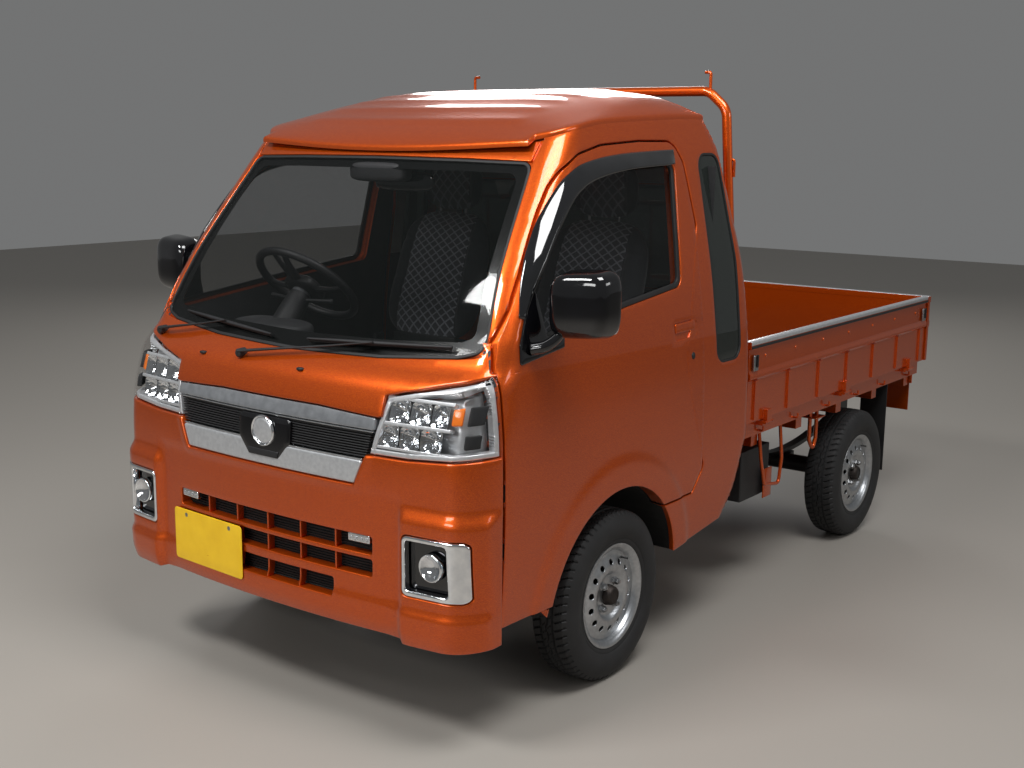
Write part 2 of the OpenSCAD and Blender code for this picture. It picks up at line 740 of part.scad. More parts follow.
module tail_ears(x) {
    for (e = [-1, 1]) translate([x + e * 26 - 5, 0, 0]) {
        box(0, 10, deck_rear - 2, tail_pin_y - 8, pin_z - 12, pin_z + 6);
        translate([0, tail_pin_y, pin_z]) rotate([0, 90, 0]) cylinder(d = 11, h = 10, $fn = 32);
        box(0, 10, tail_pin_y - 9, tail_pin_y, pin_z - 5, pin_z + 5);
    }
    translate([x - 30, tail_pin_y, pin_z]) rotate([0, 90, 0])
        cylinder(d = pin_d - 4, h = 60, $fn = 32);
}
// Gate as a flat panel with a cap, a ledge and stiffening ribs, standing on X
module gate_panel(l) {
    h = gate_height;
    box(0, gate_t - 8, 0, l, 0, h);
    box(-1, gate_t, 0, l, h - 26, h);
    prism_x_gate(l);
    for (y = spots(60, l - 60, max(4, round(l / 260)))) box(8, gate_t - 1, y - 14, y + 14, 8, 150);
}
module prism_x_gate(l) {
    // a sloping ledge below the recessed top band
    rotate([90, 0, 0]) mirror([0, 0, 1]) linear_extrude(l)
        polygon([[gate_t - 9, 150], [gate_t, 160], [gate_t, 176], [gate_t - 9, 190]]);
}
knuckle_w = 36;
module side_gate(s) {
    color(paint) side(s) {
        translate([gate_x, gate_front, gate_bottom]) gate_panel(deck_rear - gate_front);
        for (y = hinges) difference() {
            union() {
                translate([pin_x, y - knuckle_w / 2, pin_z]) rotate([-90, 0, 0])
                    cylinder(d = 11, h = knuckle_w, $fn = 32);
                box(gate_out - 12, pin_x + 3, y - knuckle_w / 2, y + knuckle_w / 2, pin_z,
                    gate_bottom + 34);
            }
            translate([pin_x, y - 40, pin_z]) rotate([-90, 0, 0])
                cylinder(d = pin_d - 3.4, h = 80, $fn = 32);
        }
    }
}
module side_gate_left() { side_gate(1); }
module side_gate_right() { side_gate(-1); }
module tailgate() {
    l = 2 * gate_out;
    color(paint) {
        translate([gate_out, tail_y, gate_bottom]) rotate([0, 0, 90]) gate_panel(l);
        for (x = spots(-width / 2 + 260, width / 2 - 260, 3)) difference() {
            union() {
                translate([x - knuckle_w / 2, tail_pin_y, pin_z]) rotate([0, 90, 0])
                    cylinder(d = 11, h = knuckle_w, $fn = 32);
                box(x - knuckle_w / 2, x + knuckle_w / 2, tail_out - 12, tail_pin_y + 3, pin_z,
                    gate_bottom + 34);
            }
            translate([x - 40, tail_pin_y, pin_z]) rotate([0, 90, 0])
                cylinder(d = pin_d - 3.4, h = 80, $fn = 32);
        }
    }
}

// Guard frame behind the cab
guard_y = bed_front - guard_d / 2 - seat_gap;
guard_top = up(1810);
module tube(a, b, d) {
    v = b - a;
    translate(a) rotate([0, acos(v[2] / norm(v)), atan2(v[1], v[0])])
        cylinder(d = d, h = norm(v), $fn = 20);
}
module guard_frame() {
    foot = [gate_x - 32, guard_y, bed_height + 4];
    knee = [width / 2 - 152, guard_y, guard_top - 60];
    shoulder = [width / 2 - 222, guard_y, guard_top];
    color(paint) meshed() {
        both() {
            tube(foot, knee, guard_d);
            tube(knee, shoulder, guard_d);
            for (p = [knee, shoulder]) translate(p) sphere(d = guard_d + 1, $fn = 20);
            // rope hook
            translate([shoulder[0], guard_y - 4, guard_top]) cube([10, 8, roof_height + 80 - guard_top]);
            translate([shoulder[0] - 20, guard_y - 4, roof_height + 66]) cube([30, 8, 14]);
            // foot plate bolted to the bulkhead
            box(foot[0] - 26, foot[0] + 22, guard_y - 3, bed_front - seat_gap,
                bed_height + 4, bed_height + 74);
        }
        tube([-shoulder[0], guard_y, guard_top], shoulder, guard_d);
        // window guard bars, ending inside the posts
        for (z = [bed_height + gate_height + 60, up(1420)]) {
            x = foot[0] + (knee[0] - foot[0]) * (z - foot[2]) / (knee[2] - foot[2]);
            tube([-x, guard_y, z], [x, guard_y, z], guard_d - 14);
        }
    }
}

// Running gear
module tyre(x, y, s) {
    w = tyre_w / 2;
    color(dark) translate([x, y, tyre_r]) rotate([0, s * 90, 0])
        rotate_extrude($fn = 96) polygon(concat(
            [[rim_d / 2 + seat_gap, -w + 26], [rim_d / 2 + 14, -w + 12], [tyre_r - 60, -w],
                [tyre_r - 26, -w + 5], [tyre_r - 6, -w + 17], [tyre_r, -w + 34]],
            [[tyre_r, w - 34], [tyre_r - 6, w - 17], [tyre_r - 26, w - 5], [tyre_r - 60, w],
                [rim_d / 2 + 14, w - 12], [rim_d / 2 + seat_gap, w - 26]]));
}
module tyre_front_left() { tyre(track_f / 2, axle_f, 1); }
module tyre_front_right() { tyre(-track_f / 2, axle_f, -1); }
module tyre_rear_left() { tyre(track_r / 2, axle_r, 1); }
module tyre_rear_right() { tyre(-track_r / 2, axle_r, -1); }

// Pressed steel rim: barrel, domed disc, hub cap and a ring of small holes
vent_holes = 14;
disc_at = 34; // from the wheel's middle out to the disc
module rim(x, y, s) {
    r = rim_d / 2;
    w = tyre_w / 2;
    color(silver) translate([x, y, tyre_r]) rotate([0, s * 90, 0]) {
        difference() {
            rotate_extrude($fn = 96) polygon([
                [r - 8, -w + 18], [r + 10, -w + 10.5], [r + 12, -w + 13.2], [r, -w + 25.4],
                [r, w - 25.4], [r + 12, w - 13.2], [r + 10, w - 10.5], [r - 8, w - 18],
                [r - 12, w - 30],
                [r - 40, disc_at + 14], [r - 74, disc_at + 22], [68, disc_at + 8],
                [58, disc_at + 8], [spindle_d / 2 + seat_gap, disc_at + 8],
                [spindle_d / 2 + seat_gap, disc_at], [64, disc_at], [r - 76, disc_at + 14],
                [r - 44, disc_at + 6], [r - 18, w - 46], [r - 8, -w + 24]]);
            for (i = [0:vent_holes - 1]) rotate([0, 0, i * 360 / vent_holes])
                translate([r - 46, 0, 0]) cylinder(d = 19, h = w + 20, $fn = 24);
        }
        for (i = [0:3]) rotate([0, 0, 45 + i * 90]) translate([50, 0, disc_at + 7.5])
            cylinder(d = 20, h = 16, $fn = 6);
    }
}
module rim_front_left() { rim(track_f / 2, axle_f, 1); }
module rim_front_right() { rim(-track_f / 2, axle_f, -1); }
module rim_rear_left() { rim(track_r / 2, axle_r, 1); }
module rim_rear_right() { rim(-track_r / 2, axle_r, -1); }

drum_d = 200;
drum_w = 58;
kingpin_h = drum_d / 2 + 8; // half the height of the steering knuckle
module spindle(x, y, inner) {
    // hub spindle, brake drum and the dark cap in the middle of the wheel
    hub_x = x + disc_at;
    translate([inner, y, tyre_r]) rotate([0, 90, 0])
        cylinder(d = spindle_d, h = hub_x + 9 - inner, $fn = 48);
    translate([inner, y, tyre_r]) rotate([0, 90, 0])
        cylinder(d = 84, h = hub_x - drum_w - inner, $fn = 48);
    translate([hub_x - drum_w - 1, y, tyre_r]) rotate([0, 90, 0])
        cylinder(d = drum_d, h = drum_w + 1 - seat_gap, $fn = 64);
    translate([hub_x + 8.3, y, tyre_r]) rotate([0, 90, 0])
        cylinder(d1 = spindle_d + 24, d2 = spindle_d + 6, h = 24, $fn = 48);
}
module knuckle(s) {
    color(dark) side(s) {
        spindle(track_f / 2, axle_f, kingpin_x - 12);
        translate([kingpin_x, axle_f, tyre_r - kingpin_h]) cylinder(d = 40, h = 2 * kingpin_h, $fn = 48);
        // steering arm to the rear
        box(kingpin_x - 14, kingpin_x + 10, axle_f, axle_f + 130, tyre_r - 70, tyre_r - 50);
    }
}
module knuckle_left() { knuckle(1); }
module knuckle_right() { knuckle(-1); }

// Front suspension: struts above the knuckles, lower arms and a cross member
module front_suspension() {
    top = tyre_r + kingpin_h + seat_gap;
    low = tyre_r - kingpin_h - seat_gap;
    strut_x = kingpin_x - 26;
    color(black) {
        both() {
            translate([kingpin_x, axle_f, top]) cylinder(d = 40, h = 14, $fn = 48);
            translate([strut_x, axle_f, top + 6]) cylinder(d = 40, h = arch_r - kingpin_h - 40, $fn = 40);
            box(strut_x, kingpin_x, axle_f - 18, axle_f + 18, top + 4, top + 14);
            translate([strut_x, axle_f, tyre_r + arch_r - 50]) cylinder(d = 96, h = 14, $fn = 48);
            // lower arm
            translate([kingpin_x, axle_f, low - 24]) cylinder(d = 44, h = 24, $fn = 48);
            box(rail_x - 60, kingpin_x, axle_f - 24, axle_f + 24, low - 22, low - 4);
        }
        box(-rail_x - 20, rail_x + 20, axle_f - 40, axle_f + 40, low - 22, cab_rail_z - 0.5);
    }
}

// Rear axle with its differential, drums and spindles
module rear_axle() {
    x = track_r / 2 - 66;
    color(dark) meshed() {
        translate([-x, axle_r, tyre_r]) rotate([0, 90, 0]) cylinder(d = axle_d, h = 2 * x, $fn = 32);
        translate([0, axle_r, tyre_r]) sphere(d = 190, $fn = 20);
        both() spindle(track_r / 2, axle_r, x);
        // drive shaft from the gearbox
        tube([0, engine_rear + 4, shaft_z], [0, axle_r, tyre_r], 56);
        // spring seats
        both() box(rail_x - 30, rail_x + 30, axle_r - 45, axle_r + 45, tyre_r, spring_low);
    }
}
spring_low = tyre_r + axle_d / 2 + 6;
spring_w = 40;
spring_t = 20;
module leaf_springs() {
    sag = hanger_z - spring_low - spring_t / 2;
    r = (hanger_y * hanger_y + sag * sag) / (2 * sag);
    color(black) both() {
        for (k = [0:2]) intersection() {
            translate([rail_x - spring_w / 2, axle_r, spring_low + seat_gap + r])
                rotate([0, 90, 0]) difference() {
                    cylinder(r = r - 6 * k, h = spring_w, $fn = 256);
                    translate([0, 0, -1]) cylinder(r = r - 6 * k - 6, h = spring_w + 2, $fn = 256);
                }
            box(0, width, axle_r - hanger_y + 6 + 120 * k, axle_r + hanger_y - 6 - 120 * k, 0,
                hanger_z + 20);
        }
        for (y = [-1, 1]) translate([rail_x - spring_w / 2, axle_r + y * hanger_y, hanger_z])
            rotate([0, 90, 0]) difference() {
                cylinder(d = 30, h = spring_w, $fn = 40);
                translate([0, 0, -1]) cylinder(d = 14, h = spring_w + 2, $fn = 40);
            }
    }
}

// Engine under the seats, one plain block with its gearbox
engine_rear = axle_f + arch_r + 140;
shaft_z = 380;
module engine() {
    x = rail_x - rail_w / 2 - seat_gap;
    color(silver) {
        box(-210, 210, axle_f - 150, axle_f + 250, 400, seat_base - 60);
        box(-210, 210, axle_f + 60, axle_f + 250, 300, 402);
        box(-120, 120, axle_f + 249, engine_rear, 300, 520);
        for (y = [axle_f + 90, axle_f + 210]) box(-x, x, y - 18, y + 18, 402, 430);
    }
}

// Tank on the vehicle's right, battery box on its left, both hung from the bed beams
module fuel_tank() {
    x0 = -gate_x + 60;
    color(black) {
        box(x0, -rail_x - rail_w / 2 - 12, beams[0] + 20, axle_r - arch_r - 30, 300, 510);
        for (y = [beams[0], beams[1]]) box(x0 + 60, x0 + 90, max(y - 12, beams[0] + 21), y + 24,
            509, beam_z - seat_gap);
    }
}
module battery_box() {
    x1 = gate_x - 60;
    color(black) {
        box(rail_x + rail_w / 2 + 40, x1, beams[0] - 20, beams[0] + 210, 330, 520);
        box(x1 - 60, x1 - 30, beams[0] - 15, beams[0] + 15, 519, beam_z - seat_gap);
    }
}
module exhaust() {
    z = 300;
    color(silver) meshed() {
        tube([-180, axle_f + 280, z], [-200, bed_front + 180, z], 40);
        tube([-200, bed_front + 160, z], [-200, bed_front + 560, z], 130);
        tube([-200, bed_front + 540, z], [-200, axle_r - 190, z], 40);
        tube([-200, axle_r - 190, z], [-200, axle_r - 150, z + 145], 40);
        tube([-200, axle_r - 160, z + 145], [-200, axle_r + 190, z + 145], 40);
        tube([-200, axle_r + 185, z + 145], [-220, tail - 130, z + 60], 40);
        box(-208, -192, beams[0], beams[0] + 24, z, beam_z - seat_gap);
        box(-208, -192, axle_r + 334, axle_r + 374, z + 90, rail_z + 5 - seat_gap);
    }
}
module mudflaps() {
    color(black) both() {
        box(track_r / 2 - 75, gate_x - 4, axle_r + tyre_r + 62, axle_r + tyre_r + 67, 210,
            bed_height - 60 - seat_gap);
    }
}
module tail_lamps() {
    color([0.7, 0.05, 0.04]) both()
        box(rail_x + 160, gate_x - 40, deck_rear - 6 + seat_gap, deck_rear + 28, 445, 545);
}
module number_plates() {
    color([0.9, 0.75, 0.1]) {
        translate([plate_x, front_at(plate_x, 430) - seat_gap, 430]) rotate([0, 0, plate_turn])
            box(-plate_half, plate_half, -plate_t, 0, -82, 82);
        box(-plate_half, plate_half, frame_rear + seat_gap, frame_rear + seat_gap + plate_t,
            460, 625);
    }
}

chassis_frame();
cab_floor();
cab_shell();
cab_roof();
front_panel();
front_bumper();
front_grille();
headlamps();
fog_lamps();
windscreen();
cab_glass();
door_hinges();
door_left();
door_right();
door_glass_left();
door_glass_right();
mirror_left();
mirror_right();
dashboard();
steering_wheel();
seat_left();
seat_right();
wipers();
bed_deck();
bed_beams();
guard_frame();
side_gate_left();
side_gate_right();
tailgate();
knuckle_left();
knuckle_right();
front_suspension();
tyre_front_left();
tyre_front_right();
tyre_rear_left();
tyre_rear_right();
rim_front_left();
rim_front_right();
rim_rear_left();
rim_rear_right();
rear_axle();
leaf_springs();
engine();
fuel_tank();
battery_box();
exhaust();
mudflaps();
tail_lamps();
number_plates();
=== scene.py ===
import math

import bmesh
import bpy
import numpy as np
from mathutils import Matrix, Vector
from mathutils.geometry import delaunay_2d_cdt


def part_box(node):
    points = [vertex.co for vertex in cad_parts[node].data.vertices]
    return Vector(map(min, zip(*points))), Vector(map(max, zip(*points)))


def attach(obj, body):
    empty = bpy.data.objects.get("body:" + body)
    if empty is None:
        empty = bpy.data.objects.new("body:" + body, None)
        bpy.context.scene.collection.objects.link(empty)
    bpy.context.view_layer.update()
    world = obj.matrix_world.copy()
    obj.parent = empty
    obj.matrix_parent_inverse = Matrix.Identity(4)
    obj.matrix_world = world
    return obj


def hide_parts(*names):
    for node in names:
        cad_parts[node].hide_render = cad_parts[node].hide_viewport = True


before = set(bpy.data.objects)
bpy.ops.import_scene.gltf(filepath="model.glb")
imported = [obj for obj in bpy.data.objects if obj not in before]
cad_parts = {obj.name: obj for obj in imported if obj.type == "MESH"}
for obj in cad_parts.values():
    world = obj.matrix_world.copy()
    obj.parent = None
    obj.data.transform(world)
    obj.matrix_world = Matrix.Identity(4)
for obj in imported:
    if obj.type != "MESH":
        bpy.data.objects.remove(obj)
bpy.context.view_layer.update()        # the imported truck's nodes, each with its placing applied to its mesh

mm = 0.001
pi = math.pi

# Sizes of the truck in millimetres, the same as the frame's
truck = dict(length=3395, width=1475, roof=1805, cab=1587, wall=45, doorGap=6, panelGap=3,
             overhang=767, wheelbase=1900, tyre=535, tyreWidth=145, rim=305, trackFront=1305,
             trackRear=1300, floor=500, seatBase=790, bed=660, gate=292, gateThick=28, archGap=78)
nose = -truck["length"] / 2
tail = -nose
cabBack = nose + truck["cab"]
axleFront = nose + truck["overhang"]
axleRear = axleFront + truck["wheelbase"]
tyreRadius = truck["tyre"] / 2
archRadius = tyreRadius + truck["archGap"]


def hexToLinear(code):
    values = [int(code[i:i + 2], 16) / 255 for i in (1, 3, 5)]
    return [v / 12.92 if v <= 0.04045 else ((v + 0.055) / 1.055) ** 2.4 for v in values] + [1.0]


def addNode(tree, kind, links=None, **settings):
    node = tree.nodes.new("ShaderNode" + kind)
    for name, value in settings.items():
        if hasattr(node, name):
            setattr(node, name, value)
        else:
            socket = node.inputs[name.replace("_", " ")]
            socket.default_value = hexToLinear(value) if isinstance(value, str) else value
    for name, source in (links or {}).items():
        tree.links.new(source, node.inputs[name])
    return node


def newMaterial(name, **sockets):
    material = bpy.data.materials.new(name)
    material.use_nodes = True
    shader = material.node_tree.nodes["Principled BSDF"]
    for key, value in sockets.items():
        shader.inputs[key.replace("_", " ")].default_value = (
            hexToLinear(value) if isinstance(value, str) else value)
    return material, material.node_tree, shader


def ramp(tree, source, stops):
    node = addNode(tree, "ValToRGB", {"Fac": source})
    while len(node.color_ramp.elements) < len(stops):
        node.color_ramp.elements.new(0.5)
    for element, (place, code) in zip(node.color_ramp.elements, stops):
        element.position = place
        element.color = hexToLinear(code)
    return node.outputs["Color"]


def grain(tree, shader, size, strength, depth, kind="TexNoise", detail=3.0):
    # size is the real grain in millimetres, depth its height in millimetres
    place = addNode(tree, "TexCoord").outputs["Object"]
    texture = addNode(tree, kind, {"Vector": place}, Scale=1 / (size * mm))
    if kind == "TexNoise":
        texture.inputs["Detail"].default_value = detail
    height = texture.outputs["Fac" if kind == "TexNoise" else "Distance"]
    bump = addNode(tree, "Bump", {"Height": height}, Strength=strength, Distance=depth * mm)
    tree.links.new(bump.outputs["Normal"], shader.inputs["Normal"])
    return texture


def mottle(tree, shader, size, low, high, socket="Base Color"):
    # slow change of colour, or of roughness where low and high are numbers
    place = addNode(tree, "TexCoord").outputs["Object"]
    noise = addNode(tree, "TexNoise", {"Vector": place}, Scale=1 / (size * mm), Detail=4.0)
    if isinstance(low, str):
        result = ramp(tree, noise.outputs["Fac"], [(0.3, low), (0.7, high)])
    else:
        result = addNode(tree, "MapRange", {"Value": noise.outputs["Fac"]}, From_Min=0.3,
                         From_Max=0.7, To_Min=low, To_Max=high).outputs["Result"]
    tree.links.new(result, shader.inputs[socket])


print("materials")
finish = {}


def metallicPaint():
    # two-coat metallic enamel: aluminium flake under a clear coat, warm and deep at the edges
    material, tree, shader = newMaterial("metallicEnamel", Metallic=0.72, Roughness=0.36,
                                         Specular_IOR_Level=0.3, Coat_Weight=0.8,
                                         Coat_Roughness=0.04)
    place = addNode(tree, "TexCoord").outputs["Object"]
    # real flake is 0.05 mm, drawn at 0.9 mm so that it shows
    flake = addNode(tree, "TexVoronoi", {"Vector": place}, Scale=1 / (0.9 * mm))
    colour = ramp(tree, flake.outputs["Color"], [(0.0, "#a23204"), (0.55, "#c64c05"),
                                                 (1.0, "#e66c0c")])
    tree.links.new(colour, shader.inputs["Base Color"])
    bump = addNode(tree, "Bump", {"Height": flake.outputs["Distance"]}, Strength=0.03,
                   Distance=0.05 * mm)
    tree.links.new(bump.outputs["Normal"], shader.inputs["Normal"])
    return material


def plainPlastic(name, low, high, rough, size=0.8, depth=0.05, coat=0.0):
    material, tree, shader = newMaterial(name, Roughness=rough, Coat_Weight=coat,
                                         Coat_Roughness=0.05)
    mottle(tree, shader, 60, low, high)
    if depth:
        grain(tree, shader, size, 0.4, depth)
    return material


def metal(name, low, high, rough, size, depth=0.02, coat=0.0, metallic=1.0):
    # metallic is below one where the silver is a pigment or lies under a dark lacquer
    material, tree, shader = newMaterial(name, Metallic=metallic, Roughness=rough,
                                         Coat_Weight=coat)
    mottle(tree, shader, size * 12, low, high)
    if depth:
        grain(tree, shader, size, 0.3, depth)
    return material


def clearGlass(name, tint, rough=0.0, opacity=0.0):
    # float glass: smooth, slightly green, IOR 1.5
    return newMaterial(name, Base_Color=tint, Roughness=rough, IOR=1.5,
                       Transmission_Weight=1.0 - opacity)[0]


finish["paint"] = metallicPaint()
# polished ABS mouldings: deep black with sharp, unbroken reflections
finish["gloss"] = plainPlastic("glossBlackAbs", "#08080a", "#0d0d10", 0.08, depth=0, coat=0.6)
# smoked acrylic, heat-formed: almost black, wet-looking, mirrors the lights
finish["smoked"] = plainPlastic("smokedAcrylic", "#0b0c0e", "#121316", 0.06, depth=0, coat=1.0)
# extruded weather-strip rubber: dull black that swallows highlights
finish["rubber"] = plainPlastic("extrudedRubber", "#101011", "#181819", 0.6, size=0.5)
# vulcanised tyre rubber: matt and slightly grey, with the mould's fine grain
finish["tyre"] = plainPlastic("tyreRubber", "#151516", "#1f1f20", 0.68, size=0.7, depth=0.12)
# polypropylene moulded with a grain: soft highlights, broken up by the texture
finish["texturedBlack"] = plainPlastic("grainedPolypropylene", "#161617", "#1e1e20", 0.55,
                                       size=0.9, depth=0.12)
# grained cabin trim: dark grey, low sheen
finish["trim"] = plainPlastic("grainedTrim", "#2b2b2d", "#343436", 0.6, size=1.0, depth=0.12)
# grained dash moulding: mid grey, low sheen so that the screen stays clear of glare
finish["dashGrey"] = plainPlastic("mouldedDash", "#56585b", "#626467", 0.6, size=1.1, depth=0.12)
# pressed felt board: pale and fully matt
finish["headliner"] = plainPlastic("pressedHeadliner", "#8d8b86", "#9a9892", 0.9, size=1.5,
                                   depth=0.2)
# sprayed underseal: lumpy, tar-black, half matt
finish["underseal"] = plainPlastic("undersealCoat", "#131313", "#1d1c1b", 0.72, size=2.5,
                                   depth=0.4)
# brushed-on chassis enamel: black with broad soft highlights and a slight orange peel
finish["chassis"] = plainPlastic("blackChassisEnamel", "#121213", "#1a1a1b", 0.38, size=3.0,
                                 depth=0.06)
# ribbed rubber sheet: dull black, the ribs catch the light
finish["matRubber"] = plainPlastic("ribbedMatRubber", "#1b1b1c", "#252526", 0.7, size=1.2)
# vacuum-plated chrome: bright, mirror-like, faintly blue
finish["chrome"] = metal("vacuumChrome", "#dfe2e6", "#f2f4f6", 0.06, 2.0, depth=0)
# chrome under a smoked lacquer: darker mirror with softer edges
finish["smokyChrome"] = metal("smokedChrome", "#8d9094", "#a2a5a9", 0.18, 2.0, depth=0,
                              metallic=0.6)
# silver paint over plastic: even, silky highlights without a mirror
finish["satin"] = metal("satinSilverPaint", "#b9bbbe", "#caccce", 0.32, 1.0, depth=0.01,
                        metallic=0.6)
# baked wheel enamel: pale metallic grey under a thin clear coat
finish["wheelSilver"] = metal("wheelSilverEnamel", "#a9acb0", "#bcbfc2", 0.34, 1.2, depth=0.02,
                              coat=0.3)
# zinc-plated steel: cool grey with blurred highlights
finish["steel"] = metal("zincSteel", "#8f9092", "#a6a7a8", 0.38, 1.5)
# die-cast aluminium: dull silver with a sandy skin
finish["castAlloy"] = metal("castAlloy", "#7d7e80", "#96979a", 0.5, 1.6, depth=0.15)
# bare cast iron: dark brown-grey and rough
finish["brakeIron"] = metal("castIron", "#3a3634", "#4a4441", 0.6, 1.6, depth=0.15)
# tinted side glass: grey-green, shows only shapes behind it
finish["privacy"] = clearGlass("privacyGlass", "#3c423f", opacity=0.35)


def thinCover(name, tint, alpha):
    # moulded acrylic a few millimetres thick: the light passes, the surface stays glossy
    material, tree, shader = newMaterial(name, Base_Color=tint, Roughness=0.03, IOR=1.49,
                                         Specular_IOR_Level=0.9, Alpha=alpha)
    mottle(tree, shader, 40, 0.02, 0.05, "Roughness")
    return material


# float glass, 5 mm: clear in front, dark where the cabin lies behind
finish["glass"] = thinCover("floatGlass", "#0b0f0e", 0.24)
# hard-coated polycarbonate: the lamp shows through, the cover still shines
finish["lens"] = thinCover("polycarbonateLens", "#15181a", 0.07)
# acrylic indicator lens: saturated orange, glossy
finish["amber"] = thinCover("amberAcrylic", "#ff8420", 0.8)
# acrylic tail lens: saturated red, glossy
finish["red"] = thinCover("redAcrylic", "#b80f0a", 0.88)
# aluminised lamp housing: bright and slightly diffuse
finish["lampSilver"] = metal("lampHousingSilver", "#d6d8db", "#e2e4e6", 0.32, 1.0, depth=0,
                             metallic=0.6)
# ceramic border fired onto the glass: opaque black, half gloss
finish["frit"] = plainPlastic("blackFrit", "#050506", "#070708", 0.25, depth=0)


def seatFabric(name, low, high, line=None):
    # woven polyester over foam: matt with a soft sheen; real threads are 1 mm, drawn at 2.4 mm
    material, tree, shader = newMaterial(name, Roughness=0.92, Sheen_Weight=0.25,
                                         Sheen_Roughness=0.5)
    place = addNode(tree, "TexCoord").outputs["Object"]
    noise = addNode(tree, "TexNoise", {"Vector": place}, Scale=1 / (2.4 * mm), Detail=2.0)
    colour = ramp(tree, noise.outputs["Fac"], [(0.35, low), (0.65, high)])
    if line:
        # diamonds 42 mm across, knitted in a paler yarn
        lines = []
        for side in (1, -1):
            turned = addNode(tree, "Mapping", {"Vector": place})
            turned.inputs["Scale"].default_value = (side, 1, 1)
            wave = addNode(tree, "TexWave", {"Vector": turned.outputs["Vector"]},
                           bands_direction="DIAGONAL", Scale=2 * pi / (10 * 42 * mm))
            lines.append(ramp(tree, wave.outputs["Fac"], [(0.86, "#000000"), (0.95, "#ffffff")]))
        either = addNode(tree, "Mix", data_type="RGBA", blend_type="LIGHTEN")
        for socket, source in zip([i for i in either.inputs if i.type == "RGBA"], lines):
            tree.links.new(source, socket)
        either.inputs["Factor"].default_value = 1.0
        yarn = addNode(tree, "Mix", data_type="RGBA")
        mask = [o for o in either.outputs if o.type == "RGBA"][0]
        tree.links.new(mask, yarn.inputs["Factor"])
        first, second = [i for i in yarn.inputs if i.type == "RGBA"]
        tree.links.new(colour, first)
        second.default_value = hexToLinear(line)
        colour = [o for o in yarn.outputs if o.type == "RGBA"][0]
    tree.links.new(colour, shader.inputs["Base Color"])
    thread = addNode(tree, "TexVoronoi", {"Vector": place}, Scale=1 / (2.4 * mm))
    bump = addNode(tree, "Bump", {"Height": thread.outputs["Distance"]}, Strength=0.35,
                   Distance=0.5 * mm)
    tree.links.new(bump.outputs["Normal"], shader.inputs["Normal"])
    return material


# seat centre: charcoal cloth with paler diamonds
finish["seatInsert"] = seatFabric("diamondSeatCloth", "#38393d", "#46474c", "#85878d")
# seat sides: the same cloth, darker and plain
finish["seatSide"] = seatFabric("plainSeatCloth", "#1f2023", "#2b2c30")
# polyester webbing: black with a soft sheen along the weave
finish["belt"] = seatFabric("wovenWebbing", "#121214", "#1c1c1f")
# hard-coated display glass: black and mirror-flat
finish["screen"] = plainPlastic("blackGlassPanel", "#060708", "#090a0b", 0.06, depth=0)
# moulded urethane rim: black, fine grain, hand-polished sheen
finish["leather"] = plainPlastic("mouldedUrethane", "#151517", "#1c1c1e", 0.5, size=1.0, depth=0.1)
# enamelled number plate: flat warm yellow, half gloss
finish["plateYellow"] = plainPlastic("platedYellow", "#e3b411", "#edc01c", 0.35, depth=0)


# meshes

def makeObject(name, vertices, faces, material, body="chassis", smooth=True, metres=False):
    mesh = bpy.data.meshes.new(name)
    points = np.asarray(vertices, float) * (1 if metres else mm)
    mesh.from_pydata(points.tolist(), [], faces)
    mesh.validate()
    made = bpy.data.objects.new(name, mesh)
    bpy.context.scene.collection.objects.link(made)
    mesh.materials.append(finish[material])
    mesh.polygons.foreach_set("use_smooth", [smooth] * len(mesh.polygons))
    if body:
        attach(made, body)
    return made


def curveThrough(points):
    # smooth curve that keeps between its points
    x, y = np.array(points, float).T
    step = np.diff(x)
    slope = np.diff(y) / step
    m = np.zeros(len(x))
    product = slope[:-1] * slope[1:]
    total = np.where(product > 0, slope[:-1] + slope[1:], 1)
    m[1:-1] = np.where(product > 0, 2 * product / total, 0)
    m[0], m[-1] = slope[0], slope[-1]

    def at(v):
        v = np.clip(v, x[0], x[-1])
        i = np.clip(np.searchsorted(x, v) - 1, 0, len(step) - 1)
        t = (v - x[i]) / step[i]
        return (y[i] * (1 + 2 * t) * (1 - t) ** 2 + y[i + 1] * t * t * (3 - 2 * t)
                + step[i] * t * (1 - t) * (m[i] * (1 - t) - m[i + 1] * t))
    return at


def smoothStep(low, high, v):
    t = np.clip((np.asarray(v, float) - low) / (high - low), 0, 1)
    return t * t * (3 - 2 * t)


# the cab's outer surface: s runs round the cab from the front centre, z is the height
crown = 1.1e-4
sideIn = curveThrough([[300, 20], [450, 8], [650, 0], [850, 2], [1000, 10], [1050, 15],
                       [1200, 32], [1400, 65], [1600, 102], [1720, 138]])
noseIn = curveThrough([[300, 18], [345, 6], [420, 4.2], [720, 4.2], [850, 12], [920, 27],
                       [985, 50], [1010, 73], [1048, 120], [1120, 168], [1200, 211], [1280, 259],
                       [1360, 317], [1440, 379], [1520, 442], [1582, 490], [1650, 545],
                       [1720, 602]])
backIn = curveThrough([[300, 195], [356, 150], [464, 63], [584, 21], [640, 0], [1000, 0],
                       [1208, 12], [1449, 61], [1614, 97], [1720, 150]])
cornerAcross = curveThrough([[300, 92], [950, 95], [1045, 82], [1120, 70], [1280, 78],
                             [1720, 72]])
cornerAlong = curveThrough([[300, 130], [450, 160], [950, 165], [1045, 110], [1120, 62],
                            [1280, 100], [1720, 92]])
seamHeight = curveThrough([[480, 1592], [532, 1628], [580, 1648], [652, 1667], [806, 1689],
                           [1029, 1701], [1337, 1711], [1500, 1711]])
rearCorner = 30


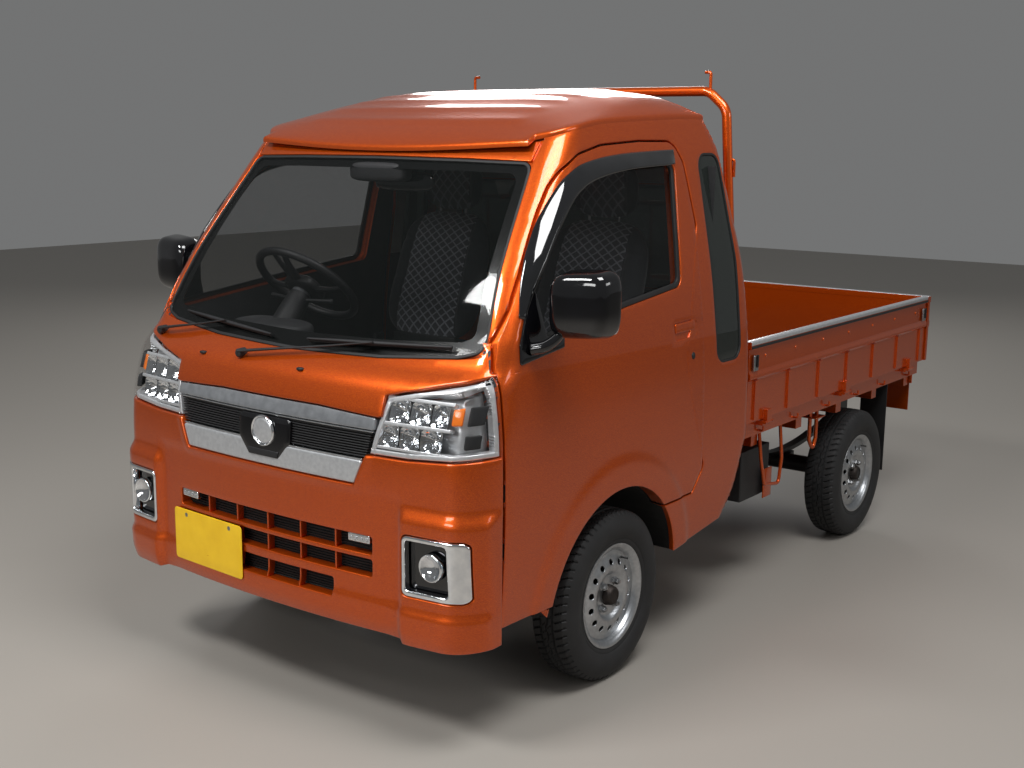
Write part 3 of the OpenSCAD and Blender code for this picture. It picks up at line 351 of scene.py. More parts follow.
def ringAt(z):
    half = truck["width"] / 2 - sideIn(z)
    across, along = cornerAcross(z), cornerAlong(z)
    x0 = half - across
    y0 = nose + noseIn(z) + crown * x0 * x0
    start = np.arctan(2 * crown * x0 * across / along)  # the corner leaves along the front
    across = (half - x0) / (1 - np.sin(start))
    k = (across + along) / 2
    s1 = x0 + k * (pi / 2 - start)
    y1 = y0 + along * np.cos(start)
    back = cabBack - backIn(z)
    s2 = s1 + back - rearCorner - y1
    return half, across, along, x0, y0, start, k, s1, y1, back, s2


def skin(s, z):
    side = np.where(s < 0, -1.0, 1.0)
    s = np.abs(s)
    half, across, along, x0, y0, start, k, s1, y1, back, s2 = ringAt(z)
    a = np.clip(start + (s - x0) / k, start, pi / 2)
    s3 = s2 + rearCorner * pi / 2
    c = np.clip((s - s2) / rearCorner, 0, pi / 2)
    x = np.select([s < x0, s < s1, s < s2, s < s3],
                  [s, x0 + across * (np.sin(a) - np.sin(start)), half,
                   half - rearCorner * (1 - np.cos(c))], half - rearCorner - (s - s3))
    y = np.select([s < x0, s < s1, s < s2, s < s3],
                  [nose + noseIn(z) + crown * s * s, y0 + along * (np.cos(start) - np.cos(a)),
                   y1 + s - s1, back - rearCorner * (1 - np.sin(c))], back)
    return np.stack([side * x, y, z + 0 * x], -1)


def girthAtX(x, z):
    half, across, along, x0, y0, start, k, s1, y1, back, s2 = ringAt(z)
    a = np.arcsin(np.clip((np.abs(x) - x0) / across + np.sin(start), -1, 1))
    return np.sign(x) * np.where(np.abs(x) <= x0, np.abs(x), x0 + k * (a - start))


def girthAtY(y, z):
    half, across, along, x0, y0, start, k, s1, y1, back, s2 = ringAt(z)
    a = np.arccos(np.clip(np.cos(start) - (y - y0) / along, -1, 1))
    return np.where(y >= y1, s1 + (y - y1), x0 + k * (a - start))


flare = dict(wide=78, ramp=26, height=6)  # raised band round the front wheel arch


def cabSkin(s, z):
    point = skin(s, z)
    d = np.hypot(point[..., 1] - axleFront, z - tyreRadius) - archRadius
    band = smoothStep(flare["wide"] + flare["ramp"], flare["wide"], d)
    band = band * smoothStep(nose + 150, nose + 260, point[..., 1])
    outward = np.sign(point[..., 0]) * flare["height"] * band
    point[..., 0] += outward * (np.abs(point[..., 0]) > 600)
    return point


# panels: an outline with holes, cut from a surface, with a rounded hem and a flange

def resample(loop, step):
    loop = np.asarray(loop, float)
    lengths = np.hypot(*(np.roll(loop, -1, 0) - loop).T)
    out = []
    for i, l in enumerate(lengths):
        n = max(1, int(round(l / step)))
        nxt = loop[(i + 1) % len(loop)]
        out += [loop[i] + (nxt - loop[i]) * j / n for j in range(n)]
    return np.array(out)


def area(loop):
    x, y = np.asarray(loop).T
    return 0.5 * float(np.sum(x * np.roll(y, -1) - np.roll(x, -1) * y))


def rounded(points, radius):
    # fillets each corner; radius is one number or one for each corner
    points = [np.array(p[:2], float) for p in points]
    out = []
    n = len(points)
    for i, p in enumerate(points):
        r = radius[i] if hasattr(radius, "__len__") else radius
        a, b = points[i - 1] - p, points[(i + 1) % n] - p
        la, lb = np.hypot(*a), np.hypot(*b)
        a, b = a / la, b / lb
        turn = math.acos(max(-1, min(1, float(a @ b))))
        if r <= 0 or turn > pi - 0.02:
            out.append(p)
            continue
        cut = min(r / math.tan(turn / 2), 0.45 * la, 0.45 * lb)
        r = cut * math.tan(turn / 2)
        centre = p + (a + b) / np.hypot(*(a + b)) * (r / math.sin(turn / 2))
        v0, v1 = p + a * cut - centre, p + b * cut - centre
        a0, a1 = math.atan2(v0[1], v0[0]), math.atan2(v1[1], v1[0])
        sweep = (a1 - a0 + pi) % (2 * pi) - pi
        steps = max(2, int(abs(sweep) / 0.2) + 1)
        out += [centre + r * np.array([math.cos(a0 + sweep * j / steps),
                                       math.sin(a0 + sweep * j / steps)])
                for j in range(steps + 1)]
    return np.array(out)


def grown(loop, d):
    # moves a closed loop outwards by d
    loop = np.asarray(loop, float)
    if area(loop) < 0:
        loop = loop[::-1]
    e0 = loop - np.roll(loop, 1, 0)
    e1 = np.roll(loop, -1, 0) - loop
    n0 = np.stack([e0[:, 1], -e0[:, 0]], -1) / np.maximum(np.hypot(*e0.T), 1e-9)[:, None]
    n1 = np.stack([e1[:, 1], -e1[:, 0]], -1) / np.maximum(np.hypot(*e1.T), 1e-9)[:, None]
    n = n0 + n1
    n /= np.maximum(np.sum(n * n, 1), 0.6)[:, None] / 2
    return loop + d * n


def inside(points, loop):
    x, y = points[:, 0], points[:, 1]
    result = np.zeros(len(points), bool)
    a, b = np.asarray(loop), np.roll(loop, -1, 0)
    for (x0, y0), (x1, y1) in zip(a, b):
        if y0 != y1:
            hit = (y0 > y) != (y1 > y)
            result ^= hit & (x < (x1 - x0) * (y - y0) / (y1 - y0) + x0)
    return result


def surfaceNormal(place, p):
    e = 0.5
    du = place(p[:, 0] + e, p[:, 1]) - place(p[:, 0] - e, p[:, 1])
    dv = place(p[:, 0], p[:, 1] + e) - place(p[:, 0], p[:, 1] - e)
    n = np.cross(du, dv)
    return n / np.maximum(np.linalg.norm(n, axis=1), 1e-9)[:, None]


def panel(name, place, loops, material, body="chassis", step=16, edge=8, hem=2.5, flange=14,
          back=None, sink=0.0, along=None):
    # place maps (u, v) to millimetres, with its normal outwards; the first loop is the outside
    rings = []
    for i, loop in enumerate(loops):
        loop = resample(loop, edge)
        if (area(loop) < 0) == (i == 0):
            loop = loop[::-1]  # the outside runs anticlockwise, the holes clockwise
        rings.append(loop)

    def moved(loop, i, d):
        return grown(loop, d) if i == 0 else grown(loop[::-1], -d)[::-1]
    inner = [moved(r, i, -hem) for i, r in enumerate(rings)]
    low, high = rings[0].min(0), rings[0].max(0)
    us = np.arange(low[0] + step / 2, high[0], step)
    vs = np.arange(low[1] + step / 2, high[1], step)
    grid = np.stack(np.meshgrid(us, vs), -1).reshape(-1, 2)
    keep = inside(grid, inner[0])
    for loop in inner[1:]:
        keep &= ~inside(grid, loop)
    grid = grid[keep]
    for loop in inner:
        if len(grid):
            nearest = np.full(len(grid), 1e9)
            for start in range(0, len(loop), 200):
                part = loop[start:start + 200]
                d = np.hypot(grid[:, None, 0] - part[None, :, 0],
                             grid[:, None, 1] - part[None, :, 1])
                nearest = np.minimum(nearest, d.min(1))
            grid = grid[nearest > 0.5 * step]
    flat = np.concatenate(inner + [grid])
    edges, first = [], 0
    for loop in inner:
        n = len(loop)
        edges += [(first + j, first + (j + 1) % n) for j in range(n)]
        first += n
    found = delaunay_2d_cdt([Vector(p) for p in flat], edges, [], 1, 1e-4)
    flat2 = np.array([list(v) for v in found[0]])
    triangles = np.array([list(f) for f in found[2] if len(f) == 3])
    middles = flat2[triangles].mean(1)
    keep = inside(middles, inner[0])
    for loop in inner[1:]:
        keep &= ~inside(middles, loop)
    triangles = triangles[keep].tolist()
    origin = found[3]
    index = {}
    for new, old in enumerate(origin):
        for o in old:
            index[o] = new

    def at(p, depth):
        inwards = -surfaceNormal(place, p) if along is None else np.array(along, float)
        return place(p[:, 0], p[:, 1]) + depth * inwards
    vertices = list(at(flat2, sink))
    faces = [f if area(flat2[f]) > 0 else f[::-1] for f in triangles]
    first = 0
    behind = len(vertices)
    if back:
        vertices += list(at(flat2, sink + back))
        faces += [[behind + v for v in f[::-1]] for f in faces]
    for i, ring in enumerate(rings):
        n = len(ring)
        last = [index[first + j] for j in range(n)]
        rim = [behind + v for v in last]
        first += n
        levels = [(hem * math.sin(a) - hem, hem * (1 - math.cos(a)))
                  for a in ((pi / 6, pi / 3, pi / 2) if hem else ())]
        if flange:
            levels.append((0.0, flange))
        for offset, depth in levels:
            loop = moved(ring, i, offset)
            here = list(range(len(vertices), len(vertices) + n))
            vertices += list(at(loop, sink + depth))
            faces += [[last[j], here[j], here[(j + 1) % n], last[(j + 1) % n]]
                      for j in range(n)]
            last = here
        if back:
            faces += [[last[j], rim[j], rim[(j + 1) % n], last[(j + 1) % n]] for j in range(n)]
    return makeObject(name, vertices, faces, material, body)


def sharpen(made, degrees=40):
    # smooth faces with hard creases where the surface really turns
    bm = bmesh.new()
    bm.from_mesh(made.data)
    for e in bm.edges:
        if len(e.link_faces) == 2 and e.calc_face_angle(0) > math.radians(degrees):
            e.smooth = False
    bm.to_mesh(made.data)
    bm.free()
    made.data.polygons.foreach_set("use_smooth", [True] * len(made.data.polygons))
    return made


def mirrored(loop):
    return [[-p[0], p[1]] for p in loop]


def fromSide(loop, step=8):
    # [y, z] outline on the left side to [s, z]
    loop = resample(loop, step)
    return np.stack([girthAtY(loop[:, 0], loop[:, 1]), loop[:, 1]], -1)


def seamAt(s):
    z = np.full(len(s), 1650.0)
    for _ in range(40):
        z = 0.5 * z + 0.5 * seamHeight(skin(s, z)[:, 1] - nose)
    return z


# side view outlines, [y, z]
doorFront = nose + 190
doorRear = cabBack - 325


def doorLoop(grow=0.0, rearCut=0.0):
    arch = archRadius
    low = 335
    angle0 = math.pi - math.asin((low - tyreRadius) / arch)
    angle1 = math.asin((506 - tyreRadius) / arch)
    archLine = [[axleFront + arch * math.cos(a), tyreRadius + arch * math.sin(a)]
                for a in np.linspace(angle1, angle0, 40)]
    upper = [[doorFront, low], [doorFront, 1041], [nose + 220, 1116], [nose + 280, 1203],
             [nose + 334, 1284], [nose + 385, 1357], [nose + 449, 1443], [nose + 511, 1517],
             [nose + 557, 1555], [nose + 645, 1600], [nose + 772, 1626], [nose + 987, 1638],
             [doorRear - 100, 1638], [doorRear - 68, 1621], [doorRear - 35, 1575],
             [doorRear - rearCut, 1380], [doorRear - rearCut, 580], [doorRear - 60, 506]]
    radii = [14, 60, 90, 200, 400, 400, 400, 200, 160, 120, 200, 100, 60, 40, 60, 100, 40, 14]
    body = rounded(upper + archLine[:1], radii + [0])[:-1]
    return grown(np.concatenate([body, archLine]), grow) if grow else \
        np.concatenate([body, archLine])


windowLoop = rounded([[nose + 262, 1090], [nose + 822, 1158], [doorRear - 130, 1190],
                      [doorRear - 88, 1592], [nose + 644, 1560], [nose + 552, 1512],
                      [nose + 444, 1405], [nose + 350, 1265]], [16, 200, 40, 45, 160, 160, 400,
                                                               400])
quarterLoop = rounded([[cabBack - 243, 916], [cabBack - 76, 916], [cabBack - 74, 1247],
                       [cabBack - 122, 1602], [cabBack - 262, 1602]], 48)
screenHalf = [[0, 1046], [330, 1053], [580, 1072], [655, 1092], [561, 1578], [330, 1583],
              [0, 1586]]
screenLoop = rounded(screenHalf + [[-x, z] for x, z in screenHalf[-2:0:-1]], 34)
grilleLoop = [[346, 717], [384, 804], [408, 906], [200, 916], [-200, 916], [-408, 906],
              [-384, 804], [-346, 717]]
rearLoop = rounded([[-532, 1120], [532, 1120], [512, 1490], [-512, 1490]], 40)

print("cab panels")
gap = truck["panelGap"] / 2


def sideFrame(sign):
    # pillar, roof rail, rear quarter and sill as one pressing
    z = np.linspace(1112, 1578, 60)
    edge = np.interp(z, [1072, 1092, 1578], [640, 655, 561]) + 3
    front = np.stack([girthAtX(edge, z), z], -1)
    sTop = np.linspace(girthAtX(565.0, np.array(1590.0)), 2050, 160)
    reach = ringAt(np.array(1650.0))
    sBack = float(reach[-1]) + rearCorner * pi / 2 + 20
    sTop = sTop[sTop < sBack]
    top = np.stack([sTop, seamAt(sTop) + 2], -1)
    zBack = np.linspace(1690, 372, 90)
    ring = ringAt(zBack)
    rear = np.stack([ring[-1] + rearCorner * pi / 2 + 12, zBack], -1)
    bottomY = np.linspace(cabBack - 200, axleFront + archRadius, 60)
    bottomZ = np.interp(bottomY, [axleFront + 235, cabBack - 140], [312, 368])
    bottom = np.stack([girthAtY(bottomY, bottomZ), bottomZ], -1)
    a0 = math.asin((bottomZ[-1] + 2 - tyreRadius) / archRadius)
    a1 = math.asin((500 - tyreRadius) / archRadius)
    arch = np.array([[axleFront + archRadius * math.cos(a), tyreRadius + archRadius * math.sin(a)]
                     for a in np.linspace(a0, a1, 16)])
    arch = np.stack([girthAtY(arch[:, 0], arch[:, 1]), arch[:, 1]], -1)
    door = grown(doorLoop(), truck["doorGap"])
    # from the sill's rear corner up, over and down the pillar
    start = int(np.argmin(np.hypot(door[:, 0] - axleFront - 330, door[:, 1] - 500)))
    door = np.roll(door, -start, 0)
    if door[5, 0] < door[0, 0]:
        door = np.roll(door[::-1], 1, 0)
    stop = int(np.argmax((door[:, 1] < 1112) & (door[:, 0] < doorFront + 60)))
    door = door[2:stop]
    door = np.stack([girthAtY(door[:, 0], door[:, 1]), door[:, 1]], -1)
    outline = np.concatenate([front, top, rear, bottom, arch, door])
    quarter = fromSide(quarterLoop)
    loops = [outline, quarter]
    if sign < 0:
        loops = [mirrored(l) for l in loops]
    return panel("sideFrame" + ("Left" if sign > 0 else "Right"), cabSkin, loops, "paint",
                 flange=16)


hingeForm = dict(heights=(560, 720), half=27, notch=728)


def doorSkin(sign):
    outline = doorLoop()
    outline[:, 0] = np.minimum(outline[:, 0], doorRear - 3)
    loops = [fromSide(outline), fromSide(windowLoop), fromSide(handleLoop)]
    if sign < 0:
        loops = [mirrored(l) for l in loops]
    word = "left" if sign > 0 else "right"
    made = panel("doorSkin" + word.capitalize(), cabSkin, loops, "paint", "door_" + word,
                 flange=30)
    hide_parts("door_" + word)
    # notches in the folded edge, so that it swings past the hinge arms
    bm = bmesh.new()
    bm.from_mesh(made.data)
    gone = [f for f in bm.faces if f.calc_center_median().y < (doorFront + 9) * mm
            and abs(f.calc_center_median().x) < hingeForm["notch"] * mm
            and min(abs(f.calc_center_median().z - z * mm) for z in hingeForm["heights"])
            < hingeForm["half"] * mm]
    bmesh.ops.delete(bm, geom=gone, context="FACES")
    bm.to_mesh(made.data)
    bm.free()
    return made



def sideWord(sign):
    return "left" if sign > 0 else "right"


def sideName(sign):
    return "Left" if sign > 0 else "Right"


def sided(loops, sign):
    return loops if sign > 0 else [mirrored(l) for l in loops]


handle = dict(front=-623, rear=-495, low=1023, high=1081, lockY=-513, lockZ=962)
handleLoop = rounded([[handle["front"], handle["low"]], [handle["rear"], handle["low"] + 4],
                      [handle["rear"], handle["high"]], [handle["front"], handle["high"] - 3]], 9)


def insetCopy(node, name, inset, pick, body="chassis"):
    # a copy of a frame node drawn in under the outer skins; pick gives each face's material
    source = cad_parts[node].data
    bm = bmesh.new()
    bm.from_mesh(source)
    bmesh.ops.remove_doubles(bm, verts=bm.verts, dist=1e-5)
    bm.normal_update()
    moves = [v.normal * inset * mm for v in bm.verts]
    for v, move in zip(bm.verts, moves):
        v.co -= move
    mesh = bpy.data.meshes.new(name)
    names = sorted(set(pick(f.calc_center_median() / mm, f.normal) for f in bm.faces))
    for f in bm.faces:
        f.material_index = names.index(pick(f.calc_center_median() / mm, f.normal))
        f.smooth = False
    bm.to_mesh(mesh)
    bm.free()
    for n in names:
        mesh.materials.append(finish[n])
    made = bpy.data.objects.new(name, mesh)
    bpy.context.scene.collection.objects.link(made)
    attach(made, body)
    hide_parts(node)
    return made


def cabFace(centre, normal):
    # cabin surfaces are trim, wheel wells and floor pan are underseal, the rest is paint
    ring = ringAt(np.array(min(max(centre.z, 300), 1720)))
    roomy = (abs(centre.x) < float(ring[0]) - 35 and centre.y < cabBack - 40
             and centre.z > truck["floor"] - 10
             and centre.y > nose + float(noseIn(centre.z)) + 50)
    towardRoom = normal.dot(Vector((0, -900, 1150)) - centre) > 0
    if roomy and towardRoom and (centre.z > truck["seatBase"] - 15 or centre.y < doorFront + 60):
        return "headliner" if centre.z > 1250 and centre.y > doorFront + 400 else "trim"
    if centre.z < truck["seatBase"] - 2 and abs(centre.x) < float(ring[0]) - 25:
        return "underseal"
    return "paint"


def doorFace(centre, normal):
    inboard = normal.x * centre.x < 0 and abs(normal.x) > 0.6
    return "trim" if inboard else "paint"


roofForm = dict(lip=14, front=494, rear=1450, ribs=6, ribPitch=105, ribStart=640, ribWidth=30,
                ribHeight=3.0, ribReach=430)
roofPeak = curveThrough([[482, 1611], [547, 1652], [647, 1700], [747, 1735], [847, 1762],
                         [997, 1790], [1197, 1805], [1297, 1803], [1367, 1790], [1417, 1766],
                         [1457, 1728]])
roofStations = [494, 506, 532, 580, 652, 806, 930, 1060, 1200, 1320, 1390, 1425, 1450]


def roofBow(run):
    return crown * np.interp(run, roofStations, np.linspace(1, 0, len(roofStations)))


def roofHalf(run):
    y = nose + run + roofBow(run) * 3.4e5
    z = seamHeight(y - nose)
    return skin(girthAtY(y, z), z)[..., 0]


def roofSkin(x, y):
    run = y - nose
    for _ in range(6):
        run = y - nose - roofBow(run) * x * x
    seam = seamHeight(run)
    rise = np.maximum(0, roofPeak(run) - seam - roofForm["lip"])
    v = np.clip(np.abs(x) / roofHalf(run), 0, 1.02)
    z = seamHeight(y - nose) + roofForm["lip"] + rise * (1 - v ** 6)
    for i in range(roofForm["ribs"]):
        at = roofForm["ribStart"] + i * roofForm["ribPitch"]
        pulse = smoothStep(roofForm["ribWidth"], 6, np.abs(run - at))
        z = z + roofForm["ribHeight"] * pulse * smoothStep(
            roofForm["ribReach"] + 25, roofForm["ribReach"] - 25, np.abs(x))
    return np.stack([x, y, z], -1)


def roof():
    run = np.linspace(roofForm["front"], roofForm["rear"], 90)
    half = roofHalf(run)
    right = np.stack([half, nose + run + roofBow(run) * half * half], -1)
    x = np.linspace(-half[0], half[0], 80)[1:-1]
    front = np.stack([x, nose + run[0] + roofBow(run[0]) * x * x], -1)
    left = np.stack([-half, right[:, 1]], -1)[::-1]
    outline = rounded(np.concatenate([front, right, left]), 24)
    made = panel("roofSkin", roofSkin, [outline], "paint", step=18, hem=7, flange=15,
                 along=(0, 0, -1))
    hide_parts("cab_roof")


def header():
    # strip between the windscreen and the roof pressing
    x = np.linspace(-558, 558, 60)
    low = np.interp(np.abs(x), [0, 330, 558], [1590, 1587, 1582])
    y = nose + roofForm["front"] + roofBow(roofForm["front"]) * x * x
    high = roofSkin(x, y)[:, 2] - 3
    loop = np.concatenate([np.stack([x, low], -1), np.stack([x, high], -1)[::-1]])
    panel("screenHeader", skin, [fromFrontWhole(loop)], "paint", step=10, hem=1.5, flange=12,
          sink=-1.5)


bumper = dict(fogIn=504, fogTop=684, fogFlat=642, boxHeight=16, lipTop=398, lipHeight=1.2,
              lipCorner=8, middleIn=5)


def frontSkin(s, z):
    point = skin(s, z)
    flat = np.stack([np.ravel(s + 0 * z), np.ravel(z + 0 * s)], -1)
    normal = surfaceNormal(skin, flat).reshape(point.shape)
    x = np.abs(point[..., 0])
    lip = smoothStep(bumper["lipTop"] + 6, bumper["lipTop"] - 8, z)
    box = (smoothStep(bumper["fogIn"] - 8, bumper["fogIn"] + 8, x)
           * smoothStep(bumper["fogTop"], bumper["fogFlat"], z))
    middle = (smoothStep(bumper["fogIn"] + 10, bumper["fogIn"] - 20, x)
              * smoothStep(720, 690, z) * (1 - lip))
    grille = np.maximum(np.abs(x) - 346 - np.clip(z - 717, 0, 90) * 0.43, 717 - z)
    ridge = smoothStep(26, 16, grille) * (z < 800) * smoothStep(560, 600, z)
    corner = bumper["lipCorner"] * smoothStep(440, 540, x)
    height = (bumper["boxHeight"] * box + lip * (bumper["lipHeight"] + corner)
              - bumper["middleIn"] * middle + 3.2 * ridge)
    point = point + height[..., None] * normal
    widest = truck["width"] / 2 - 1
    point[..., 0] = np.clip(point[..., 0], -widest, widest)
    return point


def doorLineGirth(z, back=9):
    # the door's front edge is upright below the lamp's top and leans back above it
    lean = np.interp(z, [1030, 1042, 1054, 1110], [0, 1, 5, 27])
    return girthAtY(doorFront - back + lean, z)


def wholeFront(half):
    # completes a right-hand half outline, given from the bottom centre to the top centre
    half = np.asarray(half)
    return np.concatenate([half, np.stack([-half[::-1, 0], half[::-1, 1]], -1)])


def frontPart(points, step=8):
    # open polyline [x, z] to [s, z]
    points = np.asarray(points, float)
    out = [points[0]]
    for a, b in zip(points[:-1], points[1:]):
        n = max(1, int(np.hypot(*(b - a)) / step))
        out += [a + (b - a) * j / n for j in range(1, n + 1)]
    out = np.array(out)
    return np.stack([girthAtX(out[:, 0], out[:, 1]), out[:, 1]], -1)


def hood():
    lampTop = frontPart([[427 - 3, 908 + 4], [429 - 4, 967 + gap], [560, 1000 + gap],
                         [690, 1030 + gap], [728, 1037 + gap]])
    z = np.linspace(1040, 1110, 12)
    edge = np.stack([doorLineGirth(z), z], -1)
    screen = frontPart([[661, 1110], [659, 1092], [648, 1080], [628, 1074], [582, 1068.5],
                        [330, 1049.5], [1, 1042.5]])
    bottom = frontPart([[1, 918], [200, 918], [409, 908]])
    outline = wholeFront(np.concatenate([bottom, lampTop, edge, screen]))
    made = panel("hoodPanel", cabSkin, [outline],
                 "paint", step=14, edge=7, hem=3, flange=14)
    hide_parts("front_panel")


intake = dict(rows=[[402, 524, 575], [402, 461, 510], [262, 380, 434]], bar=6)


def bumperSkin():
    top = frontPart([[1, 715], [345, 715], [383, 803], [520, 804.5], [640, 813.5], [722, 819.5]])
    z = np.linspace(822, 303, 60)
    edge = np.stack([doorLineGirth(z), z], -1)
    bottom = frontPart([[640, 303], [400, 303], [1, 303]])
    half = np.concatenate([top, edge, bottom])[::-1]
    holes = []
    for reach, low, high in intake["rows"]:
        holes.append(rounded([[-reach, low], [reach, low], [reach, high], [-reach, high]], 8))
    fog = frontPart(rounded([[514, 438], [700, 438], [700, 610], [514, 610]], 18))
    holes += [fog, mirrored(fog)]
    made = panel("bumperSkin", frontSkin, [wholeFront(half)] + holes, "paint", step=11, edge=6,
                 hem=4, flange=34)
    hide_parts("front_bumper")
    # upright bars across the intake, and the dark core behind it
    for i, (reach, low, high) in enumerate(intake["rows"]):
        n = 6 if i < 2 else 4
        for j in range(1, n):
            x = -reach + 2 * reach * j / n
            w = intake["bar"] / 2
            panel(f"intakeBar{i}{j}", frontSkin, [[[x - w, low - 4], [x + w, low - 4],
                                                   [x + w, high + 4], [x - w, high + 4]]],
                  "paint", step=12, edge=12, hem=1.5, flange=22, sink=6)
    panel("intakeCore", skin, [[[-430, 372], [430, 372], [430, 590], [-430, 590]]],
          "texturedBlack", step=30, edge=30, hem=0, flange=0, sink=46)
    for k in range(26):
        z = 378 + k * 8
        panel(f"coreFin{k}", skin, [[[-420, z], [420, z], [420, z + 2], [-420, z + 2]]],
              "underseal", step=40, edge=30, hem=0, flange=8, sink=38)


def grille():
    inner = grown(np.array(grilleLoop, float), -gap)

    def band(low, high, cut=0):
        # the grille's outline between two heights
        z = np.array([low, (low + high) / 2, high], float)
        x = np.interp(z, [717, 804, 906, 916], [346, 384, 408, 395]) - gap - cut
        return np.concatenate([np.stack([x, z], -1), np.stack([-x, z], -1)[::-1]])
    backing = panel("grilleBacking", skin, [inner], "texturedBlack", step=20, hem=0, flange=0,
                    sink=30)
    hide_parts("front_grille")
    top = [[-405, 872], [405, 872], [406, 905], [200, 914], [-200, 914], [-406, 905]]
    panel("grilleTopBar", skin, [rounded(top, 5)], "smokyChrome", step=12, hem=4, flange=26,
          sink=1)
    panel("grilleTopLine", skin, [rounded([[-402, 866], [402, 866], [402, 870], [-402, 870]], 1.5)],
          "chrome", step=12, hem=1, flange=16, sink=3)
    panel("grilleLowerBar", skin, [rounded(band(719.5, 786, 1), 7)], "satin", step=10, hem=5,
          flange=26, sink=0)
    panel("grilleLowerLine", skin, [rounded(band(787.5, 791.5, 5), 1.5)], "chrome", step=12,
          hem=1, flange=18, sink=2)
    for k in range(10):
        z = 795 + k * 7.2
        panel(f"grilleSlat{k}", skin, [band(z, z + 3.6, 2)], "texturedBlack", step=30, edge=14,
              hem=1, flange=14, sink=10)
    plateLoop = rounded([[-62, 742], [62, 742], [105, 792], [105, 862], [-105, 862],
                         [-105, 792]], 14)
    panel("sensorPanel", skin, [plateLoop], "gloss", step=12, hem=5, flange=20, sink=-1)
    tray = rounded([[-58, 745], [58, 745], [66, 764], [-66, 764]], 4)
    panel("sensorTray", skin, [tray], "texturedBlack", step=12, hem=2, flange=8, sink=-4.4)


def lathe(name, profile, centre, sign, material, body="chassis", steps=96, axis="x",
          closed=False):
    # profile is [radius, distance out] from the centre, swept round X or Y
    profile = np.asarray(profile, float)
    angles = np.linspace(0, 2 * pi, steps, endpoint=False)
    r = profile[:, 0][:, None]
    out = profile[:, 1][:, None] + 0 * angles[None, :]
    a, b = r * np.cos(angles), r * np.sin(angles)
    if axis == "x":
        points = np.stack([sign * out, sign * a, b], -1)
    else:
        points = np.stack([-sign * a, sign * out, b], -1)
    points = (points + np.array(centre, float)).reshape(-1, 3)
    m = len(profile)
    faces = []
    for i in range(m if closed else m - 1):
        k = (i + 1) % m
        for j in range(steps):
            n = (j + 1) % steps
            faces.append([i * steps + j, i * steps + n, k * steps + n, k * steps + j])
    return makeObject(name, points, faces, material, body)


def joined(name, parts):
    # joins pieces of one body and finish into one mesh
    with bpy.context.temp_override(active_object=parts[0], object=parts[0],
                                   selected_objects=parts, selected_editable_objects=parts):
        bpy.ops.object.join()
    parts[0].name = name
    return parts[0]


def badge():
    y = float(nose + noseIn(818.0)) - 2
    lathe("badgeDisc", [[0.01, 5], [30, 4], [38, 2.5], [39, 0]], (0, y, 818), -1, "satin",
          axis="y", steps=64)
    lathe("badgeRing", [[39, 0], [40, 5], [42.5, 7], [45, 5], [46, 0]], (0, y, 818), -1,
          "chrome", axis="y", steps=64)


lamp = dict(deep=52, ledge=16)


def headlamps(sign):
    word = sideName(sign)
    z = np.linspace(1036, 822, 26)
    rear = np.stack([doorLineGirth(z, 9 + 2), z], -1)
    lower = frontPart([[389 + gap, 804 + gap], [520, 806 + gap], [640, 815 + gap],
                       [718, 821 + gap]])
    upper = frontPart([[716, 1033 - gap], [690, 1030 - gap], [560, 1000 - gap],
                       [427 + 2, 967 - gap]])
    outline = rounded(np.concatenate([lower, rear[::-1], upper]), 6)
    loops = sided([outline], sign)
    # housing tub and chrome reflectors under a clear cover
    panel("lampTub" + word, skin, loops, "lampSilver", step=14, hem=0, flange=0, sink=lamp["deep"])
    wall = grown(outline, -2.0)
    rim = grown(outline, -lamp["ledge"])
    panel("lampTrim" + word, skin, sided([wall, rim], sign), "lampSilver", step=10, edge=7, hem=3,
          flange=26, sink=9)
    cover = panel("lampCover" + word, skin, loops, "lens", step=12, edge=7, hem=3, flange=4,
                  back=4, sink=0)
    if sign > 0:
        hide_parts("headlamps")
    rows = [dict(low=834, high=893, cups=[[418, 480], [484, 546], [550, 618]]),
            dict(low=903, high=962, cups=[[442, 505], [509, 572], [576, 628]])]
    for i, row in enumerate(rows):
        for j, (x0, x1) in enumerate(row["cups"]):
            cup(f"lampCup{word}{i}{j}", x0, x1, row["low"], row["high"], sign)
    for i, (low, high) in enumerate([(893, 903), (962, 972), (826, 834)]):
        bar = frontPart(rounded([[412 + 14 * (i == 1), low], [640, low], [640, high],
                                 [412 + 14 * (i == 1), high]], 2))
        panel(f"lampBar{word}{i}", skin, sided([bar], sign), "lampSilver",
              step=12, hem=2, flange=22, sink=12)
    # indicator, and the two dark inserts outboard of it
    turn = frontPart(rounded([[634, 912], [672, 914], [672, 962], [634, 956]], 5))
    panel("lampIndicator" + word, skin, sided([turn], sign), "amber", step=9, hem=4, flange=16,
          back=16, sink=18)
    for i, (low, high) in enumerate([(912, 962), (850, 888)]):
        insert = frontPart(rounded([[684, low], [712, low + 2], [712, high], [684, high]], 3))
        panel(f"lampInsert{word}{i}", skin, sided([insert], sign), "texturedBlack", step=9,
              hem=2, flange=14, sink=8)


